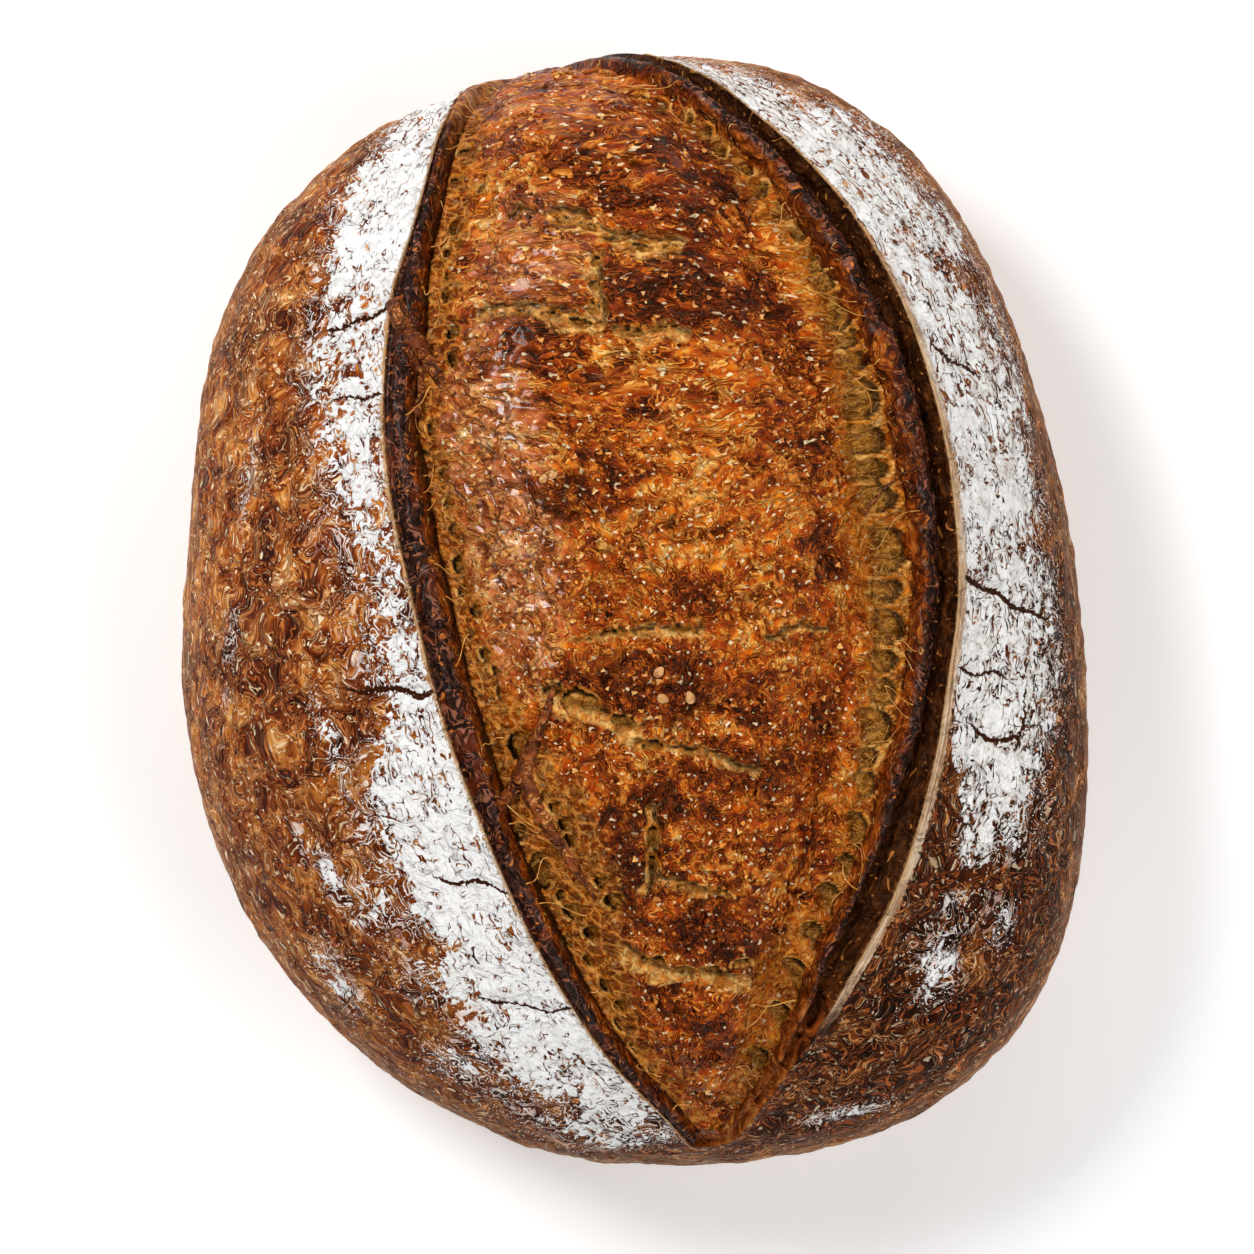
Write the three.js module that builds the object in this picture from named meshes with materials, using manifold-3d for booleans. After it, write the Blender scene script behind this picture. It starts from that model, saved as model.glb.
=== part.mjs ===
// A free-standing sourdough loaf, in millimetres: +X to its right, +Y to its upper end, +Z up,
// origin under its middle. It is one closed body. A plain dome with a flat base is worked out first.
// On it lies a long opening, the score, that the loaf tore along as it rose: two lips, a burnt band
// inside each, a crevice, and the belly between them.
import * as THREE from "three";
import Module from "manifold-3d";

const wasm = await Module();
wasm.setup();

// ---- The dome ----
// Distances from the middle to the widest line, every 22.5 degrees, starting at +X and turning towards +Y.
const OUTLINE_RADII = [
  107.5, 108.8, 120.2, 132.7, 134.6, 131.9, 128, 114.2,
  109.4, 113.7, 121.9, 130.5, 134.8, 138.9, 136.2, 118.9,
];
const OUTLINE_HARMONICS = 6; // the outline holds no finer waves than this many to a turn
const DOME_HEIGHT = 98; // crown of the dome without its belly
const WIDEST_HEIGHT = 39; // height of the widest line above the base
const BASE_SHARE = 0.85; // flat base, as a share of the outline
const SHOULDER = 2.2; // fullness of the dome, where 2 is an ellipse
const UNROLL = 1.22; // arc from the crown to the widest line, as a multiple of the outline radius
const SIDE_SHARE = 0.33; // arc from the widest line to the base's edge, as a share of the arc above it
const CROWN_PACE = 0.78; // how fast the dome turns down at the crown, where 1 is its mean pace

// ---- The score ----
// Both lips run from the upper end to the lower one. A place is given as seen from above; outside
// the outline, the excess is how far down the side it lies.
const LEFT_LIP = [
  [-21, 145], [-29.5, 134], [-35.5, 124.5], [-42.5, 115], [-47, 100], [-51, 88], [-55, 75], [-57.3, 55],
  [-57, 40], [-55, 22], [-51, 3], [-44.3, -24], [-34, -52], [-21, -81], [-7, -104], [6.5, -120],
  [14, -127.5],
];
const RIGHT_LIP = [
  [-21, 145], [-14, 138], [-6.5, 132], [5.5, 130.5], [18.5, 124], [30, 114], [41, 103], [50.5, 91],
  [60.5, 72.5], [67, 53.5], [72.5, 30], [74.3, 4], [72, -16], [67, -42], [60, -66], [50, -86],
  [39, -105.5], [30, -119], [23, -126], [14, -127.5],
];
const FULL_WIDTH = 105; // opening width at which its bands have their full size
const LEAST_SIZE = 0.22; // size of the bands where the opening closes
// Heights over the dome against the distance outwards from a lip: the raised ear.
const EAR = [[0, 3.6], [2, 3], [5, 2.1], [10, 1.1], [18, 0.3], [28, 0]];
// Heights over the dome against the distance inwards from a lip: the bands, the crevice and the
// belly's shoulder.
const LEFT_BANDS = [
  [0, 3.6], [1, 2.5], [3.5, 3.3], [6.5, 2.4], [8.5, -2], [10.5, -6], [14, -4.5], [18.5, 0.5], [26.5, 5],
  [39, 7.5],
];
const RIGHT_BANDS = [
  [0, 3.6], [1, 2.9], [3, 0.5], [5.2, -2.2], [7, 0.8], [9, 3.2], [11, 0.5], [13.5, -4], [20, -3.2],
  [27, 0.5], [35, 5], [45, 7.5],
];
// Ribs of dough across the hollow beside the right band, one every few steps along the lip.
const WEB = { start: 11, end: 30, fade: 4, height: 1.6, steps: 3 };
// Shares of the way across between which the right lip takes over from the left one.
const MEETING = { from: 0.3, to: 0.7 };
const EDGE_CALM = 4; // ribs, tears and the strap die out over this distance from a lip

// ---- The belly ----
const BELLY = { from: 12, to: 30 }; // distances from a lip between which the belly's own relief sets in
const LUMP_CORE = 0.6; // share of a lump's radius that has its full height
// Risen lumps: place, radius and height.
const LUMPS = [
  { x: 5, y: 72, radius: 13, height: 1.5 },
  { x: 16, y: 105, radius: 22, height: 1.2 },
  { x: -25, y: 105, radius: 18, height: 1 },
  { x: -26, y: 28, radius: 20, height: 1.6 },
  { x: 20, y: 25, radius: 26, height: 1 },
  { x: 0, y: -18, radius: 17, height: 1.7 },
  { x: 24, y: -48, radius: 22, height: 1.4 },
  { x: -8, y: -40, radius: 12, height: 1.3 },
  { x: 10, y: -72, radius: 14, height: 1.5 },
  { x: 14, y: -100, radius: 15, height: 1.5 },
];
// Torn places: a path as seen from above, with the depth and half-width of the tear.
const TEARS = [
  { path: [[-21, 92], [-13, 88], [-6, 84], [2, 85], [14, 87]], depth: 2.4, reach: 2.4 },
  { path: [[-7, 84], [-7.5, 72], [-6.5, 62]], depth: 1.9, reach: 2 },
  { path: [[-6, 63], [1, 61], [11, 64]], depth: 1.4, reach: 1.9 },
  { path: [[-47, 65], [-45, 54], [-38, 49]], depth: 1.8, reach: 2.4 },
  { path: [[-12, -8], [-2, -5], [16, -4.5]], depth: 1.5, reach: 1.9 },
  { path: [[-18, -20], [-8, -24.5], [2, -26]], depth: 2, reach: 2.2 },
  { path: [[0, -29], [15, -31.5], [29, -37]], depth: 1.8, reach: 2.2 },
  { path: [[3, -46], [4.5, -56], [3, -64]], depth: 2, reach: 2.4 },
  { path: [[0, -79], [13, -83], [26, -85]], depth: 1.8, reach: 2.2 },
];
// The strap that tore loose at the left crevice and still bridges it.
const STRAP = {
  path: [[-32, -36], [-25, -44], [-21, -53], [-14, -62], [-7, -67]],
  height: 2.6,
  reach: 2.2,
};
const SEEDS = [
  { x: 5.7, y: -14.4, turn: 0.9 },
  { x: 6.6, y: -20.5, turn: -0.4 },
  { x: 12.7, y: -20.2, turn: 1.9 },
];
const SEED_SIZE = new THREE.Vector3(1.5, 1.1, 0.8); // half of its length, width and thickness
const SEED_SIDES = 6;
const SEED_RINGS = 4;

// ---- Unevenness ----
const NOISE_SEED = 11;
const BELLY_WAVES = [{ span: 24, height: 1.1 }, { span: 9, height: 0.6 }];
const CRUST_WAVES = [{ span: 60, height: 1.4 }, { span: 22, height: 0.5 }];
const CALM_HEIGHT = 12; // below this height the relief fades into the base
// Large uneven numbers that scatter the lattice's values.
const SCATTER = new THREE.Vector3(127.1, 311.7, 74.7);
const SCATTER_GAIN = 43758.5453;

// ---- The mesh ----
const ROWS = 96; // steps along the opening, from tip to tip
// Distances inwards from the left lip and from the right lip where a column of the mesh runs.
const LEFT_COLUMNS = [1, 3.5, 6.5, 8.5, 10.5, 14, 18.5, 26.5];
const RIGHT_COLUMNS = [1, 3, 5.2, 7, 9, 11, 13.5, 20, 27];
const BELLY_COLUMNS = 8;
const LEAST_SLANT = 0.4; // a row that slants more than this is taken to slant this much
const MOST_BANDS = 0.44; // the bands of one lip take at most this share of a row
const EAR_RINGS = [0, 2, 5, 10, 18]; // distances outwards from the lips
const SIDE_RINGS = 10; // rings from there to the base's edge
const OUTER_SPREAD = 0.6; // 0 keeps each ring point's azimuth, 1 spaces them evenly
const LIP_DIVISIONS = 600; // pieces that a lip's curve is measured in
const NORMAL_STEP = 0.5; // distance between the points that a direction is taken from

const QUARTER = Math.PI / 2;
const FULL_TURN = 2 * Math.PI;
const HALF = 0.5;

// A smooth step from 0 at a to 1 at b.
function ease(a, b, x) {
  const t = THREE.MathUtils.clamp((x - a) / (b - a), 0, 1);
  return t * t * (3 - 2 * t);
}

// The slope of a smooth curve through knots at one of them, level at both of its ends.
function slopeAt(knots, i) {
  if (i === 0 || i === knots.length - 1) {
    return 0;
  }
  const [before, after] = [knots[i - 1], knots[i + 1]];
  return (after[1] - before[1]) / (after[0] - before[0]);
}

// A height read off a smooth curve through [distance, height] knots.
function profile(knots, distance) {
  const last = knots.length - 1;
  if (distance >= knots[last][0]) {
    return knots[last][1];
  }
  const i = knots.findIndex(([start]) => start > distance) - 1;
  const [start, end] = [knots[i], knots[i + 1]];
  const span = end[0] - start[0];
  const t = (distance - start[0]) / span;
  const startBend = span * slopeAt(knots, i) * t * (1 - t) ** 2;
  const endBend = span * slopeAt(knots, i + 1) * t * t * (1 - t);
  return THREE.MathUtils.lerp(start[1], end[1], ease(0, 1, t)) + startBend - endBend;
}

// The outline as a sum of waves round the loaf, fitted to the stated radii.
const outlineWaves = Array.from({ length: OUTLINE_HARMONICS + 1 }, (_, wave) => {
  const weight = (wave === 0 ? 1 : 2) / OUTLINE_RADII.length;
  const angle = (i) => (FULL_TURN * wave * i) / OUTLINE_RADII.length;
  return {
    cos: weight * OUTLINE_RADII.reduce((sum, radius, i) => sum + radius * Math.cos(angle(i)), 0),
    sin: weight * OUTLINE_RADII.reduce((sum, radius, i) => sum + radius * Math.sin(angle(i)), 0),
  };
});

// The outline's radius in one direction.
function outlineRadius(azimuth) {
  return outlineWaves.reduce(
    (sum, { cos, sin }, wave) => sum + cos * Math.cos(wave * azimuth) + sin * Math.sin(wave * azimuth),
    0,
  );
}

// The dome is worked on a chart, the crust unrolled flat round the crown, where distances are nearly true.
function chartFromAbove(x, y) {
  const azimuth = Math.atan2(y, x);
  const radius = outlineRadius(azimuth);
  const reach = Math.hypot(x, y) / radius;
  const direction = new THREE.Vector2(Math.cos(azimuth), Math.sin(azimuth));
  let share = 1 + (reach - 1) / UNROLL;
  if (reach < 1) {
    const tilt = Math.asin(reach ** (SHOULDER / 2)) / QUARTER;
    const rest = 1 - CROWN_PACE;
    share = (Math.sqrt(CROWN_PACE ** 2 + 4 * rest * tilt) - CROWN_PACE) / (2 * rest);
  }
  return direction.multiplyScalar(share * UNROLL * radius);
}

// The dome's point at a place on the chart.
function domePoint(chart) {
  const azimuth = Math.atan2(chart.y, chart.x);
  const radius = outlineRadius(azimuth);
  const share = chart.length() / (UNROLL * radius);
  let reach;
  let height;
  if (share <= 1) {
    const tilt = QUARTER * share * (CROWN_PACE + (1 - CROWN_PACE) * share);
    reach = Math.sin(tilt) ** (2 / SHOULDER);
    height = WIDEST_HEIGHT + (DOME_HEIGHT - WIDEST_HEIGHT) * Math.cos(tilt);
  } else {
    const turn = QUARTER * Math.min(1, (share - 1) / SIDE_SHARE);
    reach = BASE_SHARE + (1 - BASE_SHARE) * Math.cos(turn);
    height = WIDEST_HEIGHT * (1 - Math.sin(turn));
  }
  const across = reach * radius;
  return new THREE.Vector3(across * Math.cos(azimuth), across * Math.sin(azimuth), height);
}

// The dome's outward direction at a place on the chart.
function domeNormal(chart) {
  const steps = [[NORMAL_STEP, 0], [-NORMAL_STEP, 0], [0, NORMAL_STEP], [0, -NORMAL_STEP]];
  const [right, left, far, near] = steps.map(([x, y]) =>
    domePoint(new THREE.Vector2(chart.x + x, chart.y + y)),
  );
  return right.sub(left).cross(far.sub(near)).normalize();
}

// A lip as equal steps along a smooth curve through its stated places, on the chart.
function lipOnChart(places) {
  const knots = places.map(([x, y]) => {
    const chart = chartFromAbove(x, y);
    return new THREE.Vector3(chart.x, chart.y, 0);
  });
  const curve = new THREE.CatmullRomCurve3(knots, false, "centripetal");
  curve.arcLengthDivisions = LIP_DIVISIONS;
  return curve.getSpacedPoints(ROWS).map((point) => new THREE.Vector2(point.x, point.y));
}

const leftLip = lipOnChart(LEFT_LIP);
const rightLip = lipOnChart(RIGHT_LIP);
const leftEdge = leftLip.map(domePoint);
const rightEdge = rightLip.map(domePoint);

// The distance from a point to a row of points joined by straight lines, and the place along it
// that is nearest.
function nearestOn(points, point) {
  const line = new THREE.Line3();
  const foot = new THREE.Vector3();
  let best = { distance: Infinity, place: 0 };
  for (let i = 1; i < points.length; i++) {
    line.set(points[i - 1], points[i]);
    const t = line.closestPointToPointParameter(point, true);
    const distance = line.at(t, foot).distanceTo(point);
    if (distance < best.distance) {
      best = { distance, place: i - 1 + t };
    }
  }
  return best;
}

// The size of the bands at a place along the opening: they shrink where it closes.
function bandSize(place) {
  const row = Math.round(THREE.MathUtils.clamp(place, 0, ROWS));
  const width = leftEdge[row].distanceTo(rightEdge[row]);
  return THREE.MathUtils.clamp(width / FULL_WIDTH, LEAST_SIZE, 1);
}

// A number between -1 and 1 for each corner of a lattice.
function latticeValue(i, j, k) {
  const phase = i * SCATTER.x + j * SCATTER.y + k * SCATTER.z + NOISE_SEED;
  const wave = Math.sin(phase) * SCATTER_GAIN;
  return 2 * (wave - Math.floor(wave)) - 1;
}

// Smooth unevenness of one span: lattice numbers blended in space.
function unevenness(point, span) {
  const [x, y, z] = [point.x / span, point.y / span, point.z / span];
  const [i, j, k] = [Math.floor(x), Math.floor(y), Math.floor(z)];
  const [u, v, w] = [ease(0, 1, x - i), ease(0, 1, y - j), ease(0, 1, z - k)];
  const { lerp } = THREE.MathUtils;
  const along = (dj, dk) =>
    lerp(latticeValue(i, j + dj, k + dk), latticeValue(i + 1, j + dj, k + dk), u);
  return lerp(lerp(along(0, 0), along(1, 0), v), lerp(along(0, 1), along(1, 1), v), w);
}

function sumOfWaves(waves, point) {
  return waves.reduce((sum, wave) => sum + wave.height * unevenness(point, wave.span), 0);
}

// A soft ridge or furrow along a path seen from above.
function alongPath(feature, point, height) {
  const path = feature.path.map(([x, y]) => new THREE.Vector3(x, y, 0));
  const { distance } = nearestOn(path, new THREE.Vector3(point.x, point.y, 0));
  return height * Math.exp(-((distance / feature.reach) ** 2));
}

function lumpsAt(point) {
  return LUMPS.reduce((sum, lump) => {
    const distance = Math.hypot(point.x - lump.x, point.y - lump.y);
    return sum + lump.height * (1 - ease(LUMP_CORE * lump.radius, lump.radius, distance));
  }, 0);
}

// The relief's height over the dome outside the opening.
function crustRelief(point) {
  const left = nearestOn(leftEdge, point);
  const right = nearestOn(rightEdge, point);
  const nearest = left.distance < right.distance ? left : right;
  const size = bandSize(nearest.place);
  return Math.sqrt(size) * profile(EAR, nearest.distance / size) + sumOfWaves(CRUST_WAVES, point);
}

// The relief's height over the dome inside the opening. Each lip shapes its own side, and they meet
// on the belly.
function openingRelief(point) {
  const left = nearestOn(leftEdge, point);
  const right = nearestOn(rightEdge, point);
  const [leftSize, rightSize] = [bandSize(left.place), bandSize(right.place)];
  const across = left.distance / Math.max(left.distance + right.distance, Number.EPSILON);
  const rightness = ease(MEETING.from, MEETING.to, across);
  const bands = THREE.MathUtils.lerp(
    Math.sqrt(leftSize) * profile(LEFT_BANDS, left.distance / leftSize),
    Math.sqrt(rightSize) * profile(RIGHT_BANDS, right.distance / rightSize),
    rightness,
  );
  const onRight = rightness > HALF;
  const inward = onRight ? right.distance / rightSize : left.distance / leftSize;
  const onBelly = ease(BELLY.from, BELLY.to, inward);
  const webStart = ease(WEB.start, WEB.start + WEB.fade, inward);
  const webEnd = ease(WEB.end - WEB.fade, WEB.end, inward);
  const inWeb = webStart * (1 - webEnd);
  const ribs = onRight ? WEB.height * inWeb * Math.cos((FULL_TURN * right.place) / WEB.steps) : 0;
  const tears = TEARS.reduce((sum, tear) => sum + alongPath(tear, point, -tear.depth), 0);
  const strap = alongPath(STRAP, point, STRAP.height);
  const calm = ease(0, EDGE_CALM, Math.min(left.distance, right.distance));
  return bands + calm * (ribs + tears + strap) +
    onBelly * (lumpsAt(point) + sumOfWaves(BELLY_WAVES, point)) +
    (1 - onBelly) * sumOfWaves(CRUST_WAVES, point);
}

// The crust's or the opening's point at a place on the chart.
function loafPoint(chart, relief) {
  const point = domePoint(chart);
  const height = relief(point) * ease(0, CALM_HEIGHT, point.z);
  return point.addScaledVector(domeNormal(chart), height);
}

// The sine of the angle at which a row meets a lip: a slanting row goes further to leave the lip behind.
function slant(edge, row) {
  const across = rightEdge[row].clone().sub(leftEdge[row]);
  const along = edge[row + 1].clone().sub(edge[row - 1]);
  return Math.max(LEAST_SLANT, Math.sin(across.angleTo(along)));
}

// Places across one row of the opening, as shares of the way from its left lip to its right lip.
function columnShares(row) {
  const width = leftEdge[row].distanceTo(rightEdge[row]);
  const spread = (columns, edge) => {
    const fit = bandSize(row) / (width * slant(edge, row));
    const scale = Math.min(fit, MOST_BANDS / columns[columns.length - 1]);
    return columns.map((distance) => distance * scale);
  };
  const fromLeft = spread(LEFT_COLUMNS, leftEdge);
  const fromRight = spread(RIGHT_COLUMNS, rightEdge).map((share) => 1 - share).reverse();
  const start = fromLeft[fromLeft.length - 1];
  const step = (fromRight[0] - start) / (BELLY_COLUMNS + 1);
  const middle = Array.from({ length: BELLY_COLUMNS }, (_, i) => start + step * (i + 1));
  return [...fromLeft, ...middle, ...fromRight];
}

// The whole loaf: vertices by rows inside the opening and by rings outside it, and a flat base.
function loafGeometry() {
  const vertices = [];
  const triangles = [];
  const addVertex = (point) => vertices.push(point.x, point.y, point.z) / 3 - 1;
  const addQuad = (a, b, c, d) => triangles.push(a, b, c, a, c, d);

  // The ring of both lips: down the left lip and back up the right one.
  const ringSize = 2 * ROWS;
  const lipRing = [...leftLip.slice(0, ROWS), ...rightLip.slice(1).reverse()];
  const lipIds = lipRing.map((chart) => addVertex(loafPoint(chart, crustRelief)));
  const leftId = (row) => lipIds[row];
  const rightId = (row) => lipIds[(ringSize - row) % ringSize];

  // Inside: one row of vertices from lip to lip at each step between the tips.
  const rows = [];
  for (let row = 1; row < ROWS; row++) {
    const inner = columnShares(row).map((share) => {
      const chart = leftLip[row].clone().lerp(rightLip[row], share);
      return addVertex(loafPoint(chart, openingRelief));
    });
    rows.push([leftId(row), ...inner, rightId(row)]);
  }
  rows.slice(1).forEach((lower, i) => {
    const upper = rows[i];
    for (let c = 1; c < lower.length; c++) {
      addQuad(upper[c - 1], lower[c - 1], lower[c], upper[c]);
    }
  });
  const [top, bottom] = [rows[0], rows[rows.length - 1]];
  for (let c = 1; c < top.length; c++) {
    triangles.push(leftId(0), top[c - 1], top[c]);
    triangles.push(bottom[c - 1], leftId(ROWS), bottom[c]);
  }

  // Outside: rings from the lips to the base's edge.
  const topAzimuth = leftLip[0].angle();
  const bottomAzimuth = leftLip[ROWS].angle();
  const outerRing = lipRing.map((chart, i) => {
    const onLeft = i <= ROWS;
    const start = onLeft ? topAzimuth : bottomAzimuth - FULL_TURN;
    const end = onLeft ? bottomAzimuth : topAzimuth;
    const even = THREE.MathUtils.lerp(start, end, (onLeft ? i : i - ROWS) / ROWS);
    let own = chart.angle();
    if (!onLeft && own > Math.PI) {
      own -= FULL_TURN;
    }
    const azimuth = THREE.MathUtils.lerp(own, even, OUTER_SPREAD);
    const reach = UNROLL * outlineRadius(azimuth) * (1 + SIDE_SHARE);
    return new THREE.Vector2(Math.cos(azimuth), Math.sin(azimuth)).multiplyScalar(reach);
  });
  let inner = lipIds;
  for (let ring = 1; ring < EAR_RINGS.length + SIDE_RINGS; ring++) {
    const outer = lipRing.map((chart, i) => {
      const way = chart.distanceTo(outerRing[i]);
      const earEnd = EAR_RINGS[EAR_RINGS.length - 1] / way;
      const beyond = (ring - EAR_RINGS.length + 1) / SIDE_RINGS;
      const share = ring < EAR_RINGS.length ? EAR_RINGS[ring] / way : earEnd + (1 - earEnd) * beyond;
      return addVertex(loafPoint(chart.clone().lerp(outerRing[i], share), crustRelief));
    });
    for (let i = 0; i < ringSize; i++) {
      const next = (i + 1) % ringSize;
      addQuad(inner[i], outer[i], outer[next], inner[next]);
    }
    inner = outer;
  }

  // The flat base.
  const middle = addVertex(new THREE.Vector3(0, 0, 0));
  inner.forEach((id, i) => triangles.push(id, middle, inner[(i + 1) % ringSize]));

  return new THREE.BufferGeometry()
    .setAttribute("position", new THREE.Float32BufferAttribute(vertices, 3))
    .setIndex(triangles);
}

// A closed indexed geometry as a solid that can be joined to others.
function solidFrom(geometry) {
  const vertProperties = new Float32Array(geometry.getAttribute("position").array);
  const triVerts = new Uint32Array(geometry.index.array);
  return new wasm.Manifold(new wasm.Mesh({ numProp: 3, vertProperties, triVerts }));
}

function geometryFrom(solid) {
  const mesh = solid.getMesh();
  return new THREE.BufferGeometry()
    .setAttribute("position", new THREE.BufferAttribute(mesh.vertProperties, 3))
    .setIndex(new THREE.BufferAttribute(mesh.triVerts, 1));
}

// A seed as rings of vertices between two poles, lying on the belly.
function seedGeometry({ x, y, turn }) {
  const vertices = [0, 0, 1];
  for (let ring = 1; ring < SEED_RINGS; ring++) {
    const down = (Math.PI * ring) / SEED_RINGS;
    for (let side = 0; side < SEED_SIDES; side++) {
      const around = (FULL_TURN * side) / SEED_SIDES;
      vertices.push(Math.sin(down) * Math.cos(around), Math.sin(down) * Math.sin(around), Math.cos(down));
    }
  }
  const last = vertices.push(0, 0, -1) / 3 - 1;
  const triangles = [];
  const id = (ring, side) => 1 + (ring - 1) * SEED_SIDES + (side % SEED_SIDES);
  for (let side = 0; side < SEED_SIDES; side++) {
    triangles.push(0, id(1, side), id(1, side + 1));
    for (let ring = 1; ring < SEED_RINGS - 1; ring++) {
      triangles.push(id(ring, side), id(ring + 1, side), id(ring + 1, side + 1));
      triangles.push(id(ring, side), id(ring + 1, side + 1), id(ring, side + 1));
    }
    triangles.push(id(SEED_RINGS - 1, side), last, id(SEED_RINGS - 1, side + 1));
  }
  const spot = loafPoint(chartFromAbove(x, y), openingRelief);
  return new THREE.BufferGeometry()
    .setAttribute("position", new THREE.Float32BufferAttribute(vertices, 3))
    .setIndex(triangles)
    .scale(SEED_SIZE.x, SEED_SIZE.y, SEED_SIZE.z)
    .rotateZ(turn)
    .translate(spot.x, spot.y, spot.z);
}

const seeds = SEEDS.map((seed) => solidFrom(seedGeometry(seed)));
const solid = seeds.reduce((sum, seed) => sum.add(seed), solidFrom(loafGeometry()));
const geometry = geometryFrom(solid);
geometry.computeBoundingBox();
const centre = geometry.boundingBox.getCenter(new THREE.Vector3());
geometry.translate(-centre.x, -centre.y, 0);

const crust = new THREE.MeshStandardMaterial({ color: 0x9c5a2a, roughness: 0.6, metalness: 0 });
const loaf = new THREE.Mesh(geometry, crust);
loaf.name = "loaf";

const group = new THREE.Group();
group.add(loaf);

export default group;
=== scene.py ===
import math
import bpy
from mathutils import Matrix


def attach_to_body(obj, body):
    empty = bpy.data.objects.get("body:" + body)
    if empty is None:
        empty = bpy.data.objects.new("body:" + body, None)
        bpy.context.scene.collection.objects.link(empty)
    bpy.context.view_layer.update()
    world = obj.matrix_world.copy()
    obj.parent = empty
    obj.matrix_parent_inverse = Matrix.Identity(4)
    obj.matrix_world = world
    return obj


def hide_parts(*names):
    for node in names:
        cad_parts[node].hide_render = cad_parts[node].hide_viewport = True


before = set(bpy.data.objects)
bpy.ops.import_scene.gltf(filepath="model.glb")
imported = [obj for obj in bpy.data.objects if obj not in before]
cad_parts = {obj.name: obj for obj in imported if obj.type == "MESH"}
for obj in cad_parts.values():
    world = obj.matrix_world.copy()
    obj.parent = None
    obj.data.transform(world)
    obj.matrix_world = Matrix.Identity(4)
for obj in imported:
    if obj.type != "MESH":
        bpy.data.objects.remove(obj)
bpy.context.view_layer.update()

# %% [markdown]
# # A sourdough loaf
# The loaf is one piece of baked dough: a floured, mottled crust, a long score that tore open in the oven,
# two raised burnt lips along it, and the blistered belly that swelled out between them. The solid that was
# loaded has its form. Here that form is made again as a fine skin, about 0.6 mm between points, so that
# folds, pockets and cracks are real geometry. Each point also carries the numbers that the finishes need,
# such as how much flour lies on it.

# %% Libraries
from types import SimpleNamespace

import bpy
import numpy as np
from mathutils import Vector

MM = 0.001

# %% [markdown]
# ## Sizes
# All sizes are in millimetres, and become metres when a mesh is made. The outline is given as radii at even
# turns round the loaf, and each lip as places seen from above. A band's profile is a height over the dome
# for each place between a lip and the belly.

# %% Measures of the loaf
OUTLINE_RADII = np.array([107.5, 108.8, 120.2, 132.7, 134.6, 131.9, 128.0, 114.2,
                          109.4, 113.7, 121.9, 130.5, 134.8, 138.9, 136.2, 118.9])
OUTLINE_HARMONICS = 6
DOME_HEIGHT = 98.0
WIDEST_HEIGHT = 39.0
BASE_SHARE = 0.85  # the base's reach as a share of the widest
SHOULDER = 2.2  # higher is squarer
# The chart's length from the crown to the widest line, as a share of the radius, and that of the side below
# it.
UNROLL = 1.22
SIDE_SHARE = 0.33
CROWN_PACE = 0.78
LEFT_LIP = [
    (-21, 150), (-28.5, 142), (-34, 134), (-38.6, 126.5), (-44.3, 115.5), (-48.3, 100), (-51.5, 88),
    (-55.6, 75), (-57.7, 55), (-57.5, 40), (-55.2, 22), (-51, 3), (-44.3, -24), (-34, -52), (-21, -81),
    (-6.4, -104.4), (7.6, -120.4), (14, -127.5)]
RIGHT_LIP = [
    (-21, 150), (-14.5, 143), (-8.5, 136.5), (4, 131.6), (18.3, 124), (29.9, 113.9), (40.7, 103.1),
    (50.3, 91), (60.5, 72.2), (67.2, 53.5), (72.7, 30), (74.7, 4), (72.4, -16), (68, -42), (60.4, -66),
    (50, -86), (38.6, -105), (29.2, -118.5), (22.5, -126), (14, -127.5)]
# Where the opening is narrower than this, the bands are smaller in proportion, down to the least size.
FULL_WIDTH = 105.0
LEAST_SIZE = 0.22
# The raised lip on the outside: height against distance from it.
EAR = [(0, 3.6), (2, 3), (5, 2.1), (10, 1.1), (18, 0.3), (28, 0)]
# The crust's own skin inside each lip, down to the floor that the belly covers.
LEFT_CRUST = [
    (0, 3.6), (0.5, 2.3), (1.2, 2.2), (3.5, 3.3), (6, 2.7), (7.0, 1.2), (7.6, -1.2), (8.3, -4.5),
    (9.4, -9), (11, -11)]
RIGHT_CRUST = [
    (0, 3.6), (0.6, 3.1), (3.0, 1.0), (5.4, -1.0), (6.8, 0.8), (8.6, 2.8), (10.6, 2.3), (12.0, 0.4),
    (12.8, -2), (13.8, -6), (15.5, -11)]
# The belly's skin, from below that floor up to its shoulder.
LEFT_BELLY = [
    (6, -12), (7.2, -5.0), (8.2, -2.6), (10, -2.8), (14, -1.4), (19, 0.9), (27, 4.5), (40, 6.5)]
RIGHT_BELLY = [
    (9, -14), (11.2, -5.0), (12.4, -2.0), (16, -2.8), (23, -2.8), (30, 0.4), (38, 4.4), (48, 6.5)]
# Distances from a lip, in mm, against the height up the loaf: the left band's end and the end of the small
# pockets beyond it, and for the right side the ends of the wall, the ridge and the windows. In pockets and
# windows the skin is stretched to a film.
LEFT_BAND = [
    (-128, 2.0), (-121, 2.2), (-111, 2.6), (-96, 3.4), (-82, 4.3), (-64, 4.3), (-54, 4.4), (-45, 5.6),
    (-26, 6.6), (-16, 6.5), (12, 6.6), (31, 6.8), (42, 5.4), (56, 5.6), (67, 6.9), (74, 5.8), (80, 4.8),
    (88, 2.8), (95, 2.7), (103, 2.1), (112, 1.9), (122, 1.8), (146, 1.8)]
POCKETS = [
    (-128, 3), (-111, 4.5), (-102, 6.5), (-92, 11), (-83, 17), (-69, 21), (-54, 21), (-35, 13), (-26, 9.5),
    (2, 7.5), (21, 8), (36, 6.5), (60, 6.5), (74, 8.5), (97, 8), (112, 7), (125, 5)]
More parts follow.
